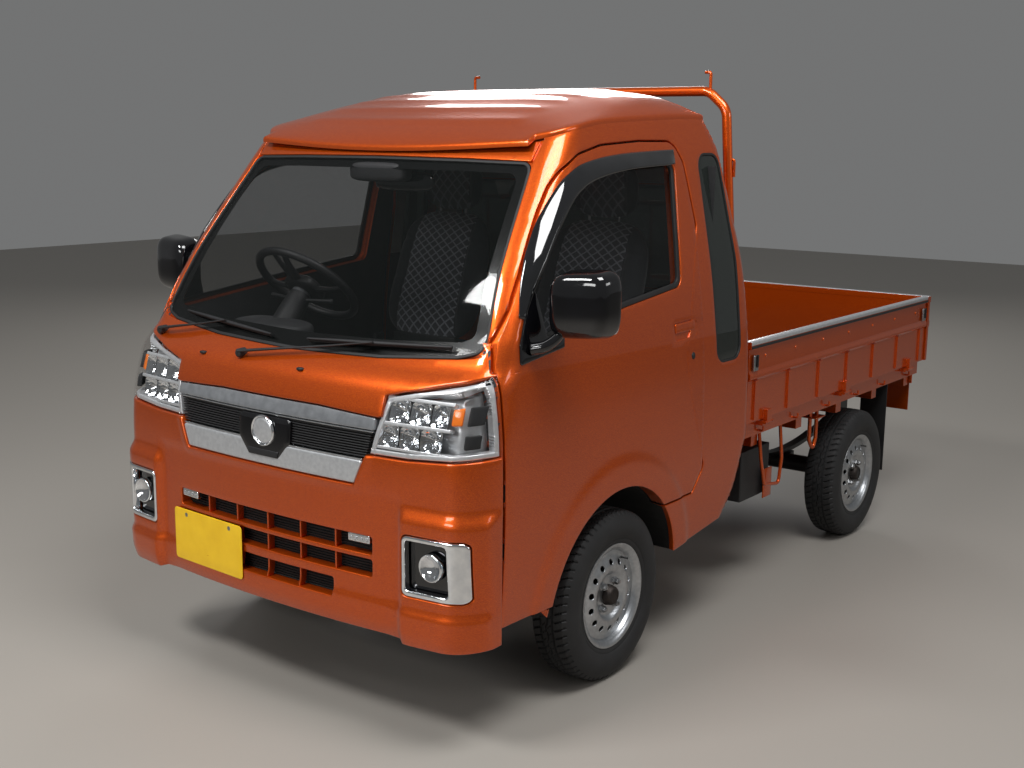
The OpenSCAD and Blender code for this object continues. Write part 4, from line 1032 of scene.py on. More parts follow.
def cup(name, x0, x1, low, high, sign):
    # a faceted bowl reflector with its bulb
    n, rings = 28, 7
    cx, cz = (x0 + x1) / 2, (low + high) / 2
    vertices, faces = [], []
    for k in range(rings + 1):
        t = k / rings
        depth = 14 + 30 * (1 - t * t)
        for j in range(n):
            a = 2 * pi * j / n
            box = 1 / max(abs(math.cos(a)), abs(math.sin(a)))
            r = t * (box * t + (1 - t))
            x = cx + (x1 - x0) / 2 * min(1.0, r) * math.cos(a) if t < 1 else \
                cx + (x1 - x0) / 2 * box * math.cos(a)
            z = cz + (high - low) / 2 * (min(1.0, r) if t < 1 else box) * math.sin(a)
            ripple = 1.6 * math.cos(a * 7) * t * (1 - t)
            p = np.array([[girthAtX(np.array(x), np.array(z)), z]], float)
            vertices.append((skin(p[:, 0], p[:, 1]) - (depth + ripple) * surfaceNormal(skin, p))[0])
    for k in range(rings):
        for j in range(n):
            m = (j + 1) % n
            faces.append([k * n + j, k * n + m, (k + 1) * n + m, (k + 1) * n + j])
    vertices = np.array(vertices)
    if sign < 0:
        vertices[:, 0] *= -1
        faces = [f[::-1] for f in faces]
    made = makeObject(name, vertices, faces, "chrome", smooth=False)
    centre = np.array(vertices[:n]).mean(0)
    lathe(name + "Bulb", [[0.01, 24], [5, 22], [8, 14], [9, 0]], centre, -1, "lens", axis="y",
          steps=20)
    return made


fogLamp = dict(rim=12, low=440, high=608, inner=516, outer=698)


def fogLamps(sign):
    word = sideName(sign)
    f = fogLamp
    outer = rounded([[f["inner"], f["low"]], [f["outer"], f["low"]], [f["outer"], f["high"]],
                     [f["inner"], f["high"]]], 18)
    # the bezel is broad on the outboard side
    inner = rounded([[f["inner"] + 12, f["low"] + 16], [f["outer"] - 42, f["low"] + 16],
                     [f["outer"] - 46, f["high"] - 14], [f["inner"] + 10, f["high"] - 14]], 9)
    bezel = panel("fogBezel" + word, frontSkin, sided([frontPart(outer), frontPart(inner)], sign),
                  "chrome", step=8, edge=6, hem=5, flange=22, sink=-2)
    if sign > 0:
        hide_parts("fog_lamps")
    panel("fogPocket" + word, frontSkin, sided([frontPart(grown(inner, 6))], sign), "gloss",
          step=12, hem=0, flange=0, sink=26)
    cx, cz = (f["inner"] + f["outer"]) / 2 - 2, (f["low"] + f["high"]) / 2 + 4
    p = np.array([[float(girthAtX(np.array(cx), np.array(cz))), cz]])
    base = (frontSkin(p[:, 0], p[:, 1]) - 18 * surfaceNormal(skin, p))[0]
    base[0] *= sign
    lathe("fogReflector" + word, [[0.01, -6], [14, -3], [26, 4], [34, 14], [37, 15], [39, 12],
                                  [39, 0]], base, -1, "chrome", axis="y", steps=48)
    lathe("fogLens" + word, [[0.01, 17], [18, 16], [30, 14], [35, 11]], base, -1, "lens",
          axis="y", steps=48)


def markerLamps(sign):
    # strip of four white diodes at the end of the top intake row
    x0, x1, z0, z1 = 318, 394, 553, 576
    loop = rounded([[x0, z0], [x1, z0], [x1, z1], [x0, z1]], 4)
    word = sideName(sign)
    panel("markerCase" + word, frontSkin, sided([loop], sign), "chrome", step=10, hem=2,
          flange=18, sink=1)
    panel("markerLens" + word, frontSkin, sided([grown(loop, -3)], sign), "lens", step=10, hem=2,
          flange=3, back=3, sink=-3)
    for i in range(4):
        x = x0 + 10 + i * 18.5
        diode = rounded([[x - 5, z0 + 7], [x + 5, z0 + 7], [x + 5, z1 - 7], [x - 5, z1 - 7]], 2)
        panel(f"markerDiode{word}{i}", frontSkin, sided([diode], sign), "satin", step=8, hem=1,
              flange=3, sink=-1)


def glassPanel(name, place, loop, material, body, sink, thick=5, hem=1.2):
    return panel(name, place, [loop], material, body, step=24, edge=9, hem=hem, flange=thick,
                 back=thick, sink=sink)


def windscreen():
    outline = fromFrontWhole(screenLoop)
    made = glassPanel("windscreenGlass", skin, outline, "glass", "chassis", 2)
    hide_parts("windscreen")
    inner = rounded([[0, 1092], [330, 1098], [575, 1112], [607, 1128], [531, 1552], [330, 1556],
                     [0, 1557], [-330, 1556], [-531, 1552], [-607, 1128], [-575, 1112],
                     [-330, 1098]], 40)
    outerLoop = fromFrontWhole(grown(screenLoop, -2))
    panel("windscreenFrit", skin, [outerLoop, fromFrontWhole(inner)], "frit", step=14, edge=8,
          hem=0, flange=0, sink=7.6)
    # rubber bead round the glass
    panel("windscreenBead", skin, [fromFrontWhole(grown(screenLoop, 3)),
                                   fromFrontWhole(grown(screenLoop, -5))], "rubber", step=8,
          edge=7, hem=2, flange=8, sink=0.5)


def fromFrontWhole(loop, step=8):
    loop = resample(loop, step)
    return np.stack([girthAtX(loop[:, 0] + 1e-6, loop[:, 1]), loop[:, 1]], -1)


def backSkin(u, z):
    return np.stack([-u, cabBack - backIn(z) + 0 * u, z + 0 * u], -1)


def rearPanel():
    z = np.linspace(374, 1704, 60)
    x = ringAt(z)[0] - rearCorner - 13.5
    outline = np.concatenate([np.stack([x, z], -1), np.stack([-x, z], -1)[::-1]])
    panel("rearPanel", backSkin, [outline, rearLoop], "paint", step=24, edge=12, hem=2.5,
          flange=14)
    glassPanel("rearGlass", backSkin, grown(rearLoop, -1), "privacy", "chassis", 6)
    panel("rearSeal", backSkin, [grown(rearLoop, 8), grown(rearLoop, -14)], "rubber", step=10,
          hem=3, flange=8, sink=-3)


def sideGlass(sign):
    word, body = sideName(sign), "door_" + sideWord(sign)
    door = glassPanel("doorGlass" + word, skin, sided([fromSide(grown(windowLoop, 4))], sign)[0],
                      "glass", body, 12)
    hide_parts("door_glass_" + sideWord(sign))
    panel("doorSash" + word, cabSkin, sided([fromSide(grown(windowLoop, -0.3)),
                                             fromSide(grown(windowLoop, -17))], sign),
          "rubber", body, step=9, edge=7, hem=2.5, flange=9, sink=3)
    quarter = glassPanel("quarterGlass" + word, skin, sided([fromSide(grown(quarterLoop, -0.5))],
                                                           sign)[0], "privacy", "chassis", 4)
    if sign > 0:
        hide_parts("cab_glass")
    panel("quarterFrit" + word, skin, sided([fromSide(grown(quarterLoop, -1)),
                                             fromSide(grown(quarterLoop, -26))], sign), "frit",
          step=12, hem=0, flange=0, sink=9.4)
    panel("quarterBead" + word, cabSkin, sided([fromSide(grown(quarterLoop, 3)),
                                                fromSide(grown(quarterLoop, -6))], sign),
          "rubber", step=8, edge=7, hem=2, flange=8, sink=0.2)


visor = dict(proud=20, deep=46)


def doorVisor(sign):
    # smoked rain visor that follows the window's top and front edge
    body = "door_" + sideWord(sign)
    line = np.array([[nose + 292, 1175], [nose + 330, 1262], [nose + 372, 1332],
                     [nose + 440, 1420], [nose + 500, 1480], [nose + 556, 1528],
                     [nose + 640, 1566], [nose + 760, 1586], [nose + 900, 1598],
                     [doorRear - 120, 1606], [doorRear - 84, 1606]])
    widths = np.array([16, 34, 44, 50, 52, 54, 54, 52, 50, 48, 44])
    t = np.linspace(0, len(line) - 1, 90)
    centre = np.stack([np.interp(t, range(len(line)), line[:, k]) for k in (0, 1)], -1)
    for _ in range(10):
        centre[1:-1] = (centre[:-2] + 2 * centre[1:-1] + centre[2:]) / 4
    wide = np.interp(t, range(len(line)), widths)
    d = np.gradient(centre, axis=0)
    d /= np.hypot(*d.T)[:, None]
    across = np.stack([d[:, 1], -d[:, 0]], -1)  # towards the window
    rows = 9
    vertices, faces = [], []
    for lift in (0.0, -3.0):
        for i in range(len(t)):
            for k in range(rows):
                f = k / (rows - 1)
                q = centre[i] + across[i] * (wide[i] * f - 8)
                p = np.array([[float(girthAtY(q[0], q[1])), q[1]]])
                ends = min(1.0, min(t[i], t[-1] - t[i]) / 2.0)
                out = 2.5 + visor["proud"] * math.sin(f * pi / 2) * ends + lift
                vertices.append((skin(p[:, 0], p[:, 1]) + out * surfaceNormal(skin, p))[0])
    n = len(t) * rows
    for i in range(len(t) - 1):
        for k in range(rows - 1):
            a = i * rows + k
            faces.append([a, a + rows, a + rows + 1, a + 1])
            faces.append([n + a, n + a + 1, n + a + rows + 1, n + a + rows])
    for k, rim in ((0, 1), (rows - 1, -1)):
        for i in range(len(t) - 1):
            a, b = i * rows + k, (i + 1) * rows + k
            faces.append([a, n + a, n + b, b] if rim > 0 else [a, b, n + b, n + a])
    for i, rim in ((0, -1), (len(t) - 1, 1)):
        for k in range(rows - 1):
            a, b = i * rows + k, i * rows + k + 1
            faces.append([a, n + a, n + b, b] if rim > 0 else [a, b, n + b, n + a])
    vertices = np.array(vertices)
    if sign < 0:
        vertices[:, 0] *= -1
        faces = [f[::-1] for f in faces]
    return makeObject("doorVisor" + sideName(sign), vertices, faces, "smoked", body)


def tubeAlong(name, points, radius, material, body="chassis", around=20, flat=1.0, smooth=3):
    # round or flattened rod through points, rounded at its bends
    points = np.asarray(points, float)
    for _ in range(smooth):
        cut = [points[0]]
        for a, b in zip(points[:-1], points[1:]):
            cut += [a * 0.75 + b * 0.25, a * 0.25 + b * 0.75]
        points = np.array(cut + [points[-1]])
    d = np.gradient(points, axis=0)
    d /= np.linalg.norm(d, axis=1)[:, None]
    up = np.array([0, 0, 1.0]) if abs(d[0, 2]) < 0.9 else np.array([0, 1.0, 0])
    n0 = up - d[0] * (up @ d[0])
    normals = [n0 / np.linalg.norm(n0)]
    for k in range(1, len(points)):
        n1 = normals[-1] - d[k] * (normals[-1] @ d[k])
        normals.append(n1 / np.linalg.norm(n1))
    radii = np.broadcast_to(radius, len(points)) if np.ndim(radius) == 0 else \
        np.interp(np.linspace(0, 1, len(points)), np.linspace(0, 1, len(radius)), radius)
    vertices, faces = [], []
    for p, t, n, r in zip(points, d, normals, radii):
        b = np.cross(t, n)
        vertices += [p + r * (math.cos(a) * b + flat * math.sin(a) * n)
                     for a in np.linspace(0, 2 * pi, around, endpoint=False)]
    for k in range(len(points) - 1):
        for j in range(around):
            m = (j + 1) % around
            faces.append([k * around + j, k * around + m, (k + 1) * around + m,
                          (k + 1) * around + j])
    last = (len(points) - 1) * around
    faces.append(list(range(around))[::-1])
    faces.append(list(range(last, last + around)))
    made = makeObject(name, vertices, faces, material, body)
    return sharpen(made, 50)


def superBlock(name, centre, size, power, material, body="chassis", shape=None, n=40):
    # rounded block: power 2 is an ellipsoid, larger is squarer
    theta = np.linspace(0, 2 * pi, 2 * n, endpoint=False)
    phi = np.linspace(-pi / 2, pi / 2, n)
    ct, st, cp, sp = np.cos(theta), np.sin(theta), np.cos(phi), np.sin(phi)

    def signed(v):
        return np.sign(v) * np.abs(v) ** (2 / power)
    x = signed(cp)[:, None] * signed(ct)[None, :]
    y = signed(cp)[:, None] * signed(st)[None, :]
    z = signed(sp)[:, None] + 0 * x
    p = np.stack([x, y, z], -1).reshape(-1, 3)
    if shape:
        p = shape(p)
    p = p * np.array(size) / 2 + np.array(centre)
    faces = []
    m = 2 * n
    for i in range(n - 1):
        for j in range(m):
            k = (j + 1) % m
            faces.append([i * m + j, i * m + k, (i + 1) * m + k, (i + 1) * m + j])
    made = makeObject(name, p, faces, material, body)
    bm = bmesh.new()
    bm.from_mesh(made.data)
    bmesh.ops.remove_doubles(bm, verts=bm.verts, dist=1e-5)
    bm.to_mesh(made.data)
    bm.free()
    return made


def mirrorUnit(sign):
    body = "door_" + sideWord(sign)
    low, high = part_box("mirror_" + sideWord(sign))
    outX = max(abs(low.x), abs(high.x)) / mm
    cz = 1213
    centre = (sign * (outX - 96), nose + 393, cz)

    def taper(p):
        p = p.copy()
        back = (p[:, 1] + 1) / 2
        p[:, 2] *= 0.86 + 0.14 * back
        p[:, 0] *= 0.9 + 0.1 * back
        p[:, 1] = np.minimum(p[:, 1], 0.72)
        p[:, 1] += 0.25 * sign * p[:, 0]
        p[:, 2] += 0.06 * p[:, 0] * sign
        return p
    shell = superBlock("mirrorShell" + sideName(sign), centre, (184, 104, 196), 4.2, "gloss", body,
                       taper)
    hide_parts("mirror_" + sideWord(sign))
    superBlock("mirrorGlass" + sideName(sign), (centre[0], centre[1] + 38, cz), (160, 8, 168), 6,
               "chrome", body, lambda p: np.stack([p[:, 0], p[:, 1] + 3.2 * sign * p[:, 0],
                                                   p[:, 2]], -1), n=24)
    base = skin(girthAtY(np.array(nose + 318.0), np.array(1096.0)), np.array(1096.0))
    arm = [[sign * (base[0] + 4), nose + 318, 1092], [sign * (base[0] + 40), nose + 332, 1100],
           [sign * (base[0] + 62), nose + 362, 1128], [sign * (base[0] + 66), nose + 380, 1160]]
    tubeAlong("mirrorArm" + sideName(sign), arm, [22, 20, 17, 16], "gloss", body, flat=0.8)
    sail = rounded([[nose + 264, 1053], [nose + 470, 1078], [nose + 474, 1112],
                    [nose + 392, 1118], [nose + 352, 1262], [nose + 338, 1262],
                    [nose + 268, 1108]], 8)
    panel("mirrorSail" + sideName(sign), cabSkin, sided([fromSide(sail)], sign), "gloss", body,
          step=12, hem=3, flange=10, sink=-4)


def doorHandle(sign):
    body, word = "door_" + sideWord(sign), sideName(sign)
    panel("handleCup" + word, cabSkin, sided([fromSide(grown(handleLoop, 2))], sign), "paint", body,
          step=10, hem=0, flange=0, sink=15)
    flap = rounded([[handle["front"] + 3, handle["low"] + 22], [handle["rear"] - 3,
                                                               handle["low"] + 24],
                    [handle["rear"] - 3, handle["high"] - 3],
                    [handle["front"] + 3, handle["high"] - 6]], 7)
    panel("handleFlap" + word, cabSkin, sided([fromSide(flap)], sign), "paint", body, step=9,
          hem=3.5, flange=10, sink=-1.5)
    z = float(handle["lockZ"])
    p = skin(girthAtY(np.array(float(handle["lockY"])), np.array(z)), np.array(z))
    lathe("doorLock" + word, [[0.01, 2], [9, 2], [10, 1], [10.5, 0], [13, -0.5], [14, -3]],
          (sign * p[0], p[1], p[2]), sign, "rubber", body, steps=32)


print("wheels")
wheelPlaces = {"front_left": (truck["trackFront"] / 2, axleFront, 1),
               "front_right": (-truck["trackFront"] / 2, axleFront, -1),
               "rear_left": (truck["trackRear"] / 2, axleRear, 1),
               "rear_right": (-truck["trackRear"] / 2, axleRear, -1)}
tread = dict(groove=7, depth=6.5, pitch=64, ribs=[-21, 21], slot=5.5)


def tyre(where):
    cx, cy, sign = wheelPlaces[where]
    w, rim, r = truck["tyreWidth"] / 2, truck["rim"] / 2, tyreRadius
    side = [[rim + 0.5, w - 26], [rim + 6, w - 17], [rim + 14, w - 12.5], [rim + 24, w - 8],
            [rim + 27, w - 8.6], [rim + 30, w - 6], [r - 60, w - 0.5], [r - 45, w - 0.8],
            [r - 34, w - 3], [r - 26, w - 5.5], [r - 15, w - 10.5], [r - 8, w - 16]]
    crownPart = [[r - 3.6 * (abs(h) / 52) ** 3.5, h] for h in np.arange(52, -53, -2.6)]
    profile = np.array(side + crownPart + [[a, -b] for a, b in side[::-1]], float)
    steps = tread["pitch"] * 8
    angle = np.linspace(0, 2 * pi, steps, endpoint=False)
    R = profile[:, 0][:, None] + 0 * angle
    H = profile[:, 1][:, None] + 0 * angle
    inTread = np.abs(H) < 60
    cut = np.zeros_like(R)
    for at in tread["ribs"] + [0]:
        width = tread["groove"] if at else 4.5
        cut = np.maximum(cut, (np.abs(H - at - (0 if at else 2.5 * np.sign(
            np.sin(angle * tread["pitch"] / 2)))) < width / 2) * 1.0)
    phase = (angle * tread["pitch"] / (2 * pi) + H / 60) % 1
    cut = np.maximum(cut, ((phase < 0.2) & (np.abs(H) > 26) & (np.abs(H) < 61)) * 0.9)
    half = (angle * tread["pitch"] / (2 * pi) + 0.5 + H / 26) % 1
    cut = np.maximum(cut, ((half < 0.13) & (np.abs(H) < 18) & (np.abs(H) > 4)) * 0.6)
    R = R - tread["depth"] * cut * inTread * (profile[:, 0] > r - 22)[:, None]
    points = np.stack([cx + sign * H, cy + sign * R * np.cos(angle),
                       tyreRadius + R * np.sin(angle)], -1).reshape(-1, 3)
    m = len(profile)
    faces = []
    for i in range(m - 1):
        for j in range(steps):
            n = (j + 1) % steps
            faces.append([i * steps + j, (i + 1) * steps + j, (i + 1) * steps + n, i * steps + n])
    made = makeObject("tyreTread_" + where, points, faces, "tyre", "wheel_" + where)
    sharpen(made, 38)
    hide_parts("tyre_" + where)


rimForm = dict(holes=14, holeRing=106.5, hole=19, nuts=4, nutRing=50)
discProfile = curveThrough([[18, 42], [58, 42], [66, 43], [78.5, 54], [92, 54.5], [112.5, 49],
                            [128, 44], [141, 42.5]])


def rim(where):
    cx, cy, sign = wheelPlaces[where]
    r, w, body = truck["rim"] / 2, truck["tyreWidth"] / 2, "wheel_" + where
    barrel = [[r - 12, 42.5], [r - 9, 50], [r - 6, 55], [r + 4, w - 12.6], [r + 9, w - 10.6],
              [r + 11.5, w - 11], [r + 12, w - 13.2], [r + 8, w - 17.5], [r, w - 25.4],
              [r, -w + 25.4], [r + 12, -w + 13.2], [r + 11.5, -w + 11], [r + 9, -w + 10.6],
              [r + 4, -w + 12.6], [r - 8, -w + 18], [r - 9, -10], [r - 16, 20], [r - 17, 36]]
    made = lathe("rimBarrel_" + where, barrel[::-1], (cx, cy, tyreRadius), sign, "wheelSilver",
                 body, steps=120, closed=True)
    sharpen(made, 40)

    def place(u, v):
        rr = np.hypot(u, v)
        return np.stack([cx + sign * discProfile(rr), cy + sign * u, tyreRadius + v], -1)
    ring = [[math.cos(a), math.sin(a)] for a in np.linspace(0, 2 * pi, 120, endpoint=False)]
    outer = np.array(ring) * (r - 12)
    holes = [np.array(ring[::3]) * 30]
    for i in range(rimForm["holes"]):
        a = 2 * pi * (i + 0.5) / rimForm["holes"]
        c = rimForm["holeRing"] * np.array([math.cos(a), math.sin(a)])
        holes.append(c + np.array(ring[::6]) * rimForm["hole"] / 2)
    disc = panel("rimDisc_" + where, place, [outer] + holes, "wheelSilver", body, step=7, edge=4,
                 hem=1.6, flange=5)
    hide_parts("rim_" + where)
    nuts = []
    for i in range(rimForm["nuts"]):
        a = pi / 4 + i * pi / 2
        c = (cx + sign * 41.5, cy + sign * rimForm["nutRing"] * math.cos(a),
             tyreRadius + rimForm["nutRing"] * math.sin(a))
        nuts.append(lathe(f"wheelNut{i}_{where}", [[14, 0], [12.5, 4], [10.5, 5], [10, 14],
                                                   [8.5, 17], [6, 18], [5.5, 21], [0.01, 21]], c,
                          sign, "steel", body, steps=6))
        nuts[-1].data.polygons.foreach_set("use_smooth", [False] * len(nuts[-1].data.polygons))
    joined("wheelNuts_" + where, nuts)
    lathe("hubCap_" + where, [[33, 42.3], [32, 46], [29, 60], [25, 66], [18, 68], [16, 65],
                              [0.01, 65]], (cx, cy, tyreRadius), sign, "brakeIron", body, steps=48)
    lathe("valve_" + where, [[0.01, 26], [3, 26], [3.2, 4], [4.6, 2], [5, -6]],
          (cx + sign * 42, cy + sign * 124 * math.cos(1.0), tyreRadius + 124 * math.sin(1.0)),
          sign, "rubber", body, steps=12)



def keepNode(node, material, bevel=1.5, weld=True):
    # a frame node whose shape is right keeps its mesh, with softened edges and a real finish
    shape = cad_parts[node]
    shape.data.materials.clear()
    shape.data.materials.append(finish[material])
    if weld:
        shape.modifiers.new("weld", "WELD").merge_threshold = 1e-5
    if bevel:
        soft = shape.modifiers.new("softEdges", "BEVEL")
        soft.width, soft.segments, soft.limit_method = bevel * mm, 2, "ANGLE"
        soft.angle_limit = math.radians(35)
        soft.harden_normals = False
    shape.data.polygons.foreach_set("use_smooth", [True] * len(shape.data.polygons))
    shape.modifiers.new("normals", "WEIGHTED_NORMAL").keep_sharp = True
    return shape


def roundedBox(name, low, high, radius, material, body="chassis", segments=3):
    bm = bmesh.new()
    bmesh.ops.create_cube(bm, size=1.0)
    low, high = np.array(low, float), np.array(high, float)
    for v in bm.verts:
        v.co = Vector((low + (np.array(v.co) + 0.5) * (high - low)) * mm)
    radius = min(radius, 0.49 * float((high - low).min()))
    bmesh.ops.bevel(bm, geom=bm.edges[:], offset=radius * mm, segments=segments, profile=0.5,
                    affect="EDGES")
    mesh = bpy.data.meshes.new(name)
    bm.to_mesh(mesh)
    bm.free()
    made = bpy.data.objects.new(name, mesh)
    bpy.context.scene.collection.objects.link(made)
    mesh.materials.append(finish[material])
    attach(made, body)
    return sharpen(made, 50)


def bent(points, radius):
    # a path with its corners turned on a bend radius
    points = [np.array(p, float) for p in points]
    out = [points[0]]
    for a, p, b in zip(points[:-2], points[1:-1], points[2:]):
        u, v = a - p, b - p
        lu, lv = np.linalg.norm(u), np.linalg.norm(v)
        u, v = u / lu, v / lv
        angle = math.acos(max(-1, min(1, float(u @ v))))
        cut = min(radius / math.tan(angle / 2), 0.48 * lu, 0.48 * lv)
        for t in np.linspace(0, 1, 9):
            out.append(p + u * cut * (1 - t) ** 2 + v * cut * t ** 2)
    return np.array(out + [points[-1]])


print("bed")
bedForm = dict(front=cabBack + 42, rear=1650, bottom=662, mat=4, matPitch=24, matReach=690,
               guardTube=17, guardBend=70)
gateOut = truck["width"] / 2 - 12
gateIn = gateOut - truck["gateThick"]
gateFront = cabBack + 16
gateTop = bedForm["bottom"] + truck["gate"]


def bedMat():
    # ribbed rubber mat over the deck
    xs, zs = [], []
    n = int(2 * bedForm["matReach"] / bedForm["matPitch"])
    pitch = 2 * bedForm["matReach"] / n
    for i in range(n):
        x = -bedForm["matReach"] + i * pitch
        xs += [x, x + pitch * 0.5, x + pitch * 0.58, x + pitch * 0.92]
        zs += [bedForm["mat"], bedForm["mat"], 1.0, 1.0]
    xs.append(bedForm["matReach"])
    zs.append(bedForm["mat"])
    y0, y1 = bedForm["front"] + 26, bedForm["rear"] - 3
    vertices = [(x, y, truck["bed"] + z) for y in (y0, y1) for x, z in zip(xs, zs)]
    vertices += [(x, y, truck["bed"] + 0.2) for y in (y0, y1) for x in (xs[0], xs[-1])]
    m = len(xs)
    faces = [[i, i + 1, m + i + 1, m + i] for i in range(m - 1)]
    faces += [[2 * m, 0, m, 2 * m + 2], [m - 1, 2 * m + 1, 2 * m + 3, 2 * m - 1],
              list(range(m))[::-1] + [2 * m, 2 * m + 1], list(range(m, 2 * m)) + [2 * m + 3,
                                                                                  2 * m + 2]]
    makeObject("bedMat", vertices, faces, "matRubber", smooth=False)


def gateTrim(sign):
    # aluminium cap with a black rubbing strip, and an end latch
    body = "side_gate_" + sideWord(sign)
    word = sideName(sign)
    keepNode(body, "paint", 2.2)
    x0, x1 = sorted((sign * (gateIn - 0.6), sign * (gateOut + 0.8)))
    roundedBox("gateCap" + word, (x0, gateFront + 1, gateTop - 13),
               (x1, bedForm["rear"] - 1, gateTop + 2), 3, "satin", body)
    edge = sorted((sign * (gateOut - 1), sign * (gateOut + 2.5)))
    roundedBox("gateRubbingStrip" + word, (edge[0], gateFront + 2, gateTop - 24),
               (edge[1], bedForm["rear"] - 2, gateTop - 14), 1.6, "rubber", body)
    for i, y in enumerate((gateFront + 36, bedForm["rear"] - 46)):
        a = sorted((sign * (gateOut - 4), sign * (gateOut + 5)))
        roundedBox(f"latchPlate{word}{i}", (a[0], y - 17, gateTop - 104), (a[1], y + 17,
                                                                          gateTop - 48),
                   3, "steel", body)
        x = sign * (gateOut + 8)
        tubeAlong(f"latchLever{word}{i}", bent([[x - sign * 4, y, gateTop - 88],
                                               [x + sign * 1, y, gateTop - 88],
                                               [x + sign * 1, y, gateTop - 46]], 5), 3.6,
                  "chassis", body, around=12, smooth=0)
    # stamped pins along the upper band
    pins = []
    for k in range(7):
        y = gateFront + 130 + k * (bedForm["rear"] - gateFront - 260) / 6
        pins.append(lathe(f"gatePin{word}{k}", [[0.01, 4], [4, 4], [6, 3], [7, 0]],
                          (sign * (gateOut - 8.5), y, gateTop - 62), sign, "paint", body,
                          steps=16))
    joined("gatePins" + word, pins)


def tailTrim():
    keepNode("tailgate", "paint", 2.2)
    y = tail - 11.5
    roundedBox("tailCap", (-gateOut + 1, y - truck["gateThick"] - 0.6, gateTop - 13),
               (gateOut - 1, y + 0.8, gateTop + 2), 3, "satin", "tailgate")
    roundedBox("tailRubbingStrip", (-gateOut + 2, y - 1, gateTop - 24),
               (gateOut - 2, y + 2.5, gateTop - 14), 1.6, "rubber", "tailgate")
    for i, x in enumerate((-gateOut + 40, gateOut - 40)):
        roundedBox(f"tailLatch{i}", (x - 17, y - 4, gateTop - 104), (x + 17, y + 5, gateTop - 48),
                   3, "steel", "tailgate")
        tubeAlong(f"tailLever{i}", bent([[x, y + 3, gateTop - 88], [x, y + 7, gateTop - 88],
                                         [x, y + 7, gateTop - 46]], 4), 3.4, "chassis",
                  "tailgate", around=12, smooth=0)


def guard():
    y = bedForm["front"] - bedForm["guardTube"] - 0.3
    foot = (gateIn - 32, y, truck["bed"] + 4)
    knee = (truck["width"] / 2 - 152, y, 1750)
    shoulder = (truck["width"] / 2 - 222, y, 1810)
    left = [foot, knee, shoulder]
    path = left + [(-p[0], p[1], p[2]) for p in left[::-1]]
    hoop = tubeAlong("guardHoop", bent(path, bedForm["guardBend"]), bedForm["guardTube"],
                     "paint", smooth=0, around=28)
    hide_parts("guard_frame")
    for k, z in enumerate((truck["bed"] + truck["gate"] + 60, 1420)):
        x = foot[0] + (knee[0] - foot[0]) * (z - foot[2]) / (knee[2] - foot[2])
        tubeAlong(f"guardBar{k}", [(-x, y, z), (x, y, z)], 10, "paint", smooth=0)
    z0, z1 = truck["bed"] + truck["gate"] + 60, 1420
    for k in range(7):
        x = -450 + k * 150
        tubeAlong(f"guardUpright{k}", [(x, y, z0), (x, y, z1)], 6, "paint", smooth=0, around=14)
    for sign in (1, -1):
        word = sideName(sign)
        x = sign * (shoulder[0] + 5)
        tubeAlong("ropeHook" + word, bent([(x, y, 1805), (x, y, 1874), (x - sign * 22, y, 1874)],
                                          9), 5.5, "paint", around=14, smooth=0)
        roundedBox("guardFoot" + word, (sign * foot[0] - 26, y - 3, truck["bed"] + 4),
                   (sign * foot[0] + 26, y + bedForm["guardTube"] - 0.3, truck["bed"] + 74), 3,
                   "paint")
        tubeAlong("sideHanger" + word, bent([(sign * 592, y, 1580), (sign * 622, y + 4, 1580),
                                             (sign * 622, y + 4, 1520)], 10), 5, "paint",
                  around=14, smooth=0)
        bolts = [lathe(f"footBolt{word}{k}", [[9, 0], [9, 5], [7, 7], [0.01, 7]],
                       (sign * foot[0] + dx, y - 3, z), -1, "steel", axis="y", steps=6)
                 for k, (dx, z) in enumerate([(-17, 684), (17, 684), (-17, 720), (17, 720)])]
        joined("footBolts" + word, bolts)


def bedBrackets(sign):
    # stay ahead of the rear wheel, rope hooks under the gate and the rear corner plate
    word = sideName(sign)
    x = sign * 652
    y = axleRear - tyreRadius - 62
    tubeAlong("wheelStay" + word, bent([(x, y - 46, 652), (x, y - 46, 470), (x, y - 6, 424),
                                        (x, y + 16, 470), (x, y + 16, 652)], 26), 8, "paint",
              around=16, smooth=0)
    roundedBox("wheelStayPlate" + word, (x - 34, y - 58, 560), (x + 34, y + 26, 566), 2.5, "paint")
    if sign > 0:
        tubeAlong("boxLoop", bent([(674, 92, 640), (690, 92, 500), (690, 128, 392),
                                   (690, 250, 372), (690, 268, 470), (674, 268, 640)], 22), 6.5,
                  "paint", around=16, smooth=0)
        roundedBox("boxBracket", (650, 196, 318), (656, 262, 430), 2.5, "paint")
    hooks = []
    for k in range(6):
        at = gateFront + 150 + k * 290
        hx = sign * 706
        hooks.append(tubeAlong(f"ropeHook{word}{k}", bent([(hx - sign * 16, at, 648),
                                                          (hx - sign * 16, at, 612),
                                                          (hx + sign * 6, at, 612),
                                                          (hx + sign * 6, at, 630)], 7), 4.2,
                               "paint", around=12, smooth=0))
    joined("deckHooks" + word, hooks)
    roundedBox("cornerPlate" + word, (min(sign * 640, sign * 688), 1612, 556),
               (max(sign * 640, sign * 688), 1618, 656), 2.5, "paint")


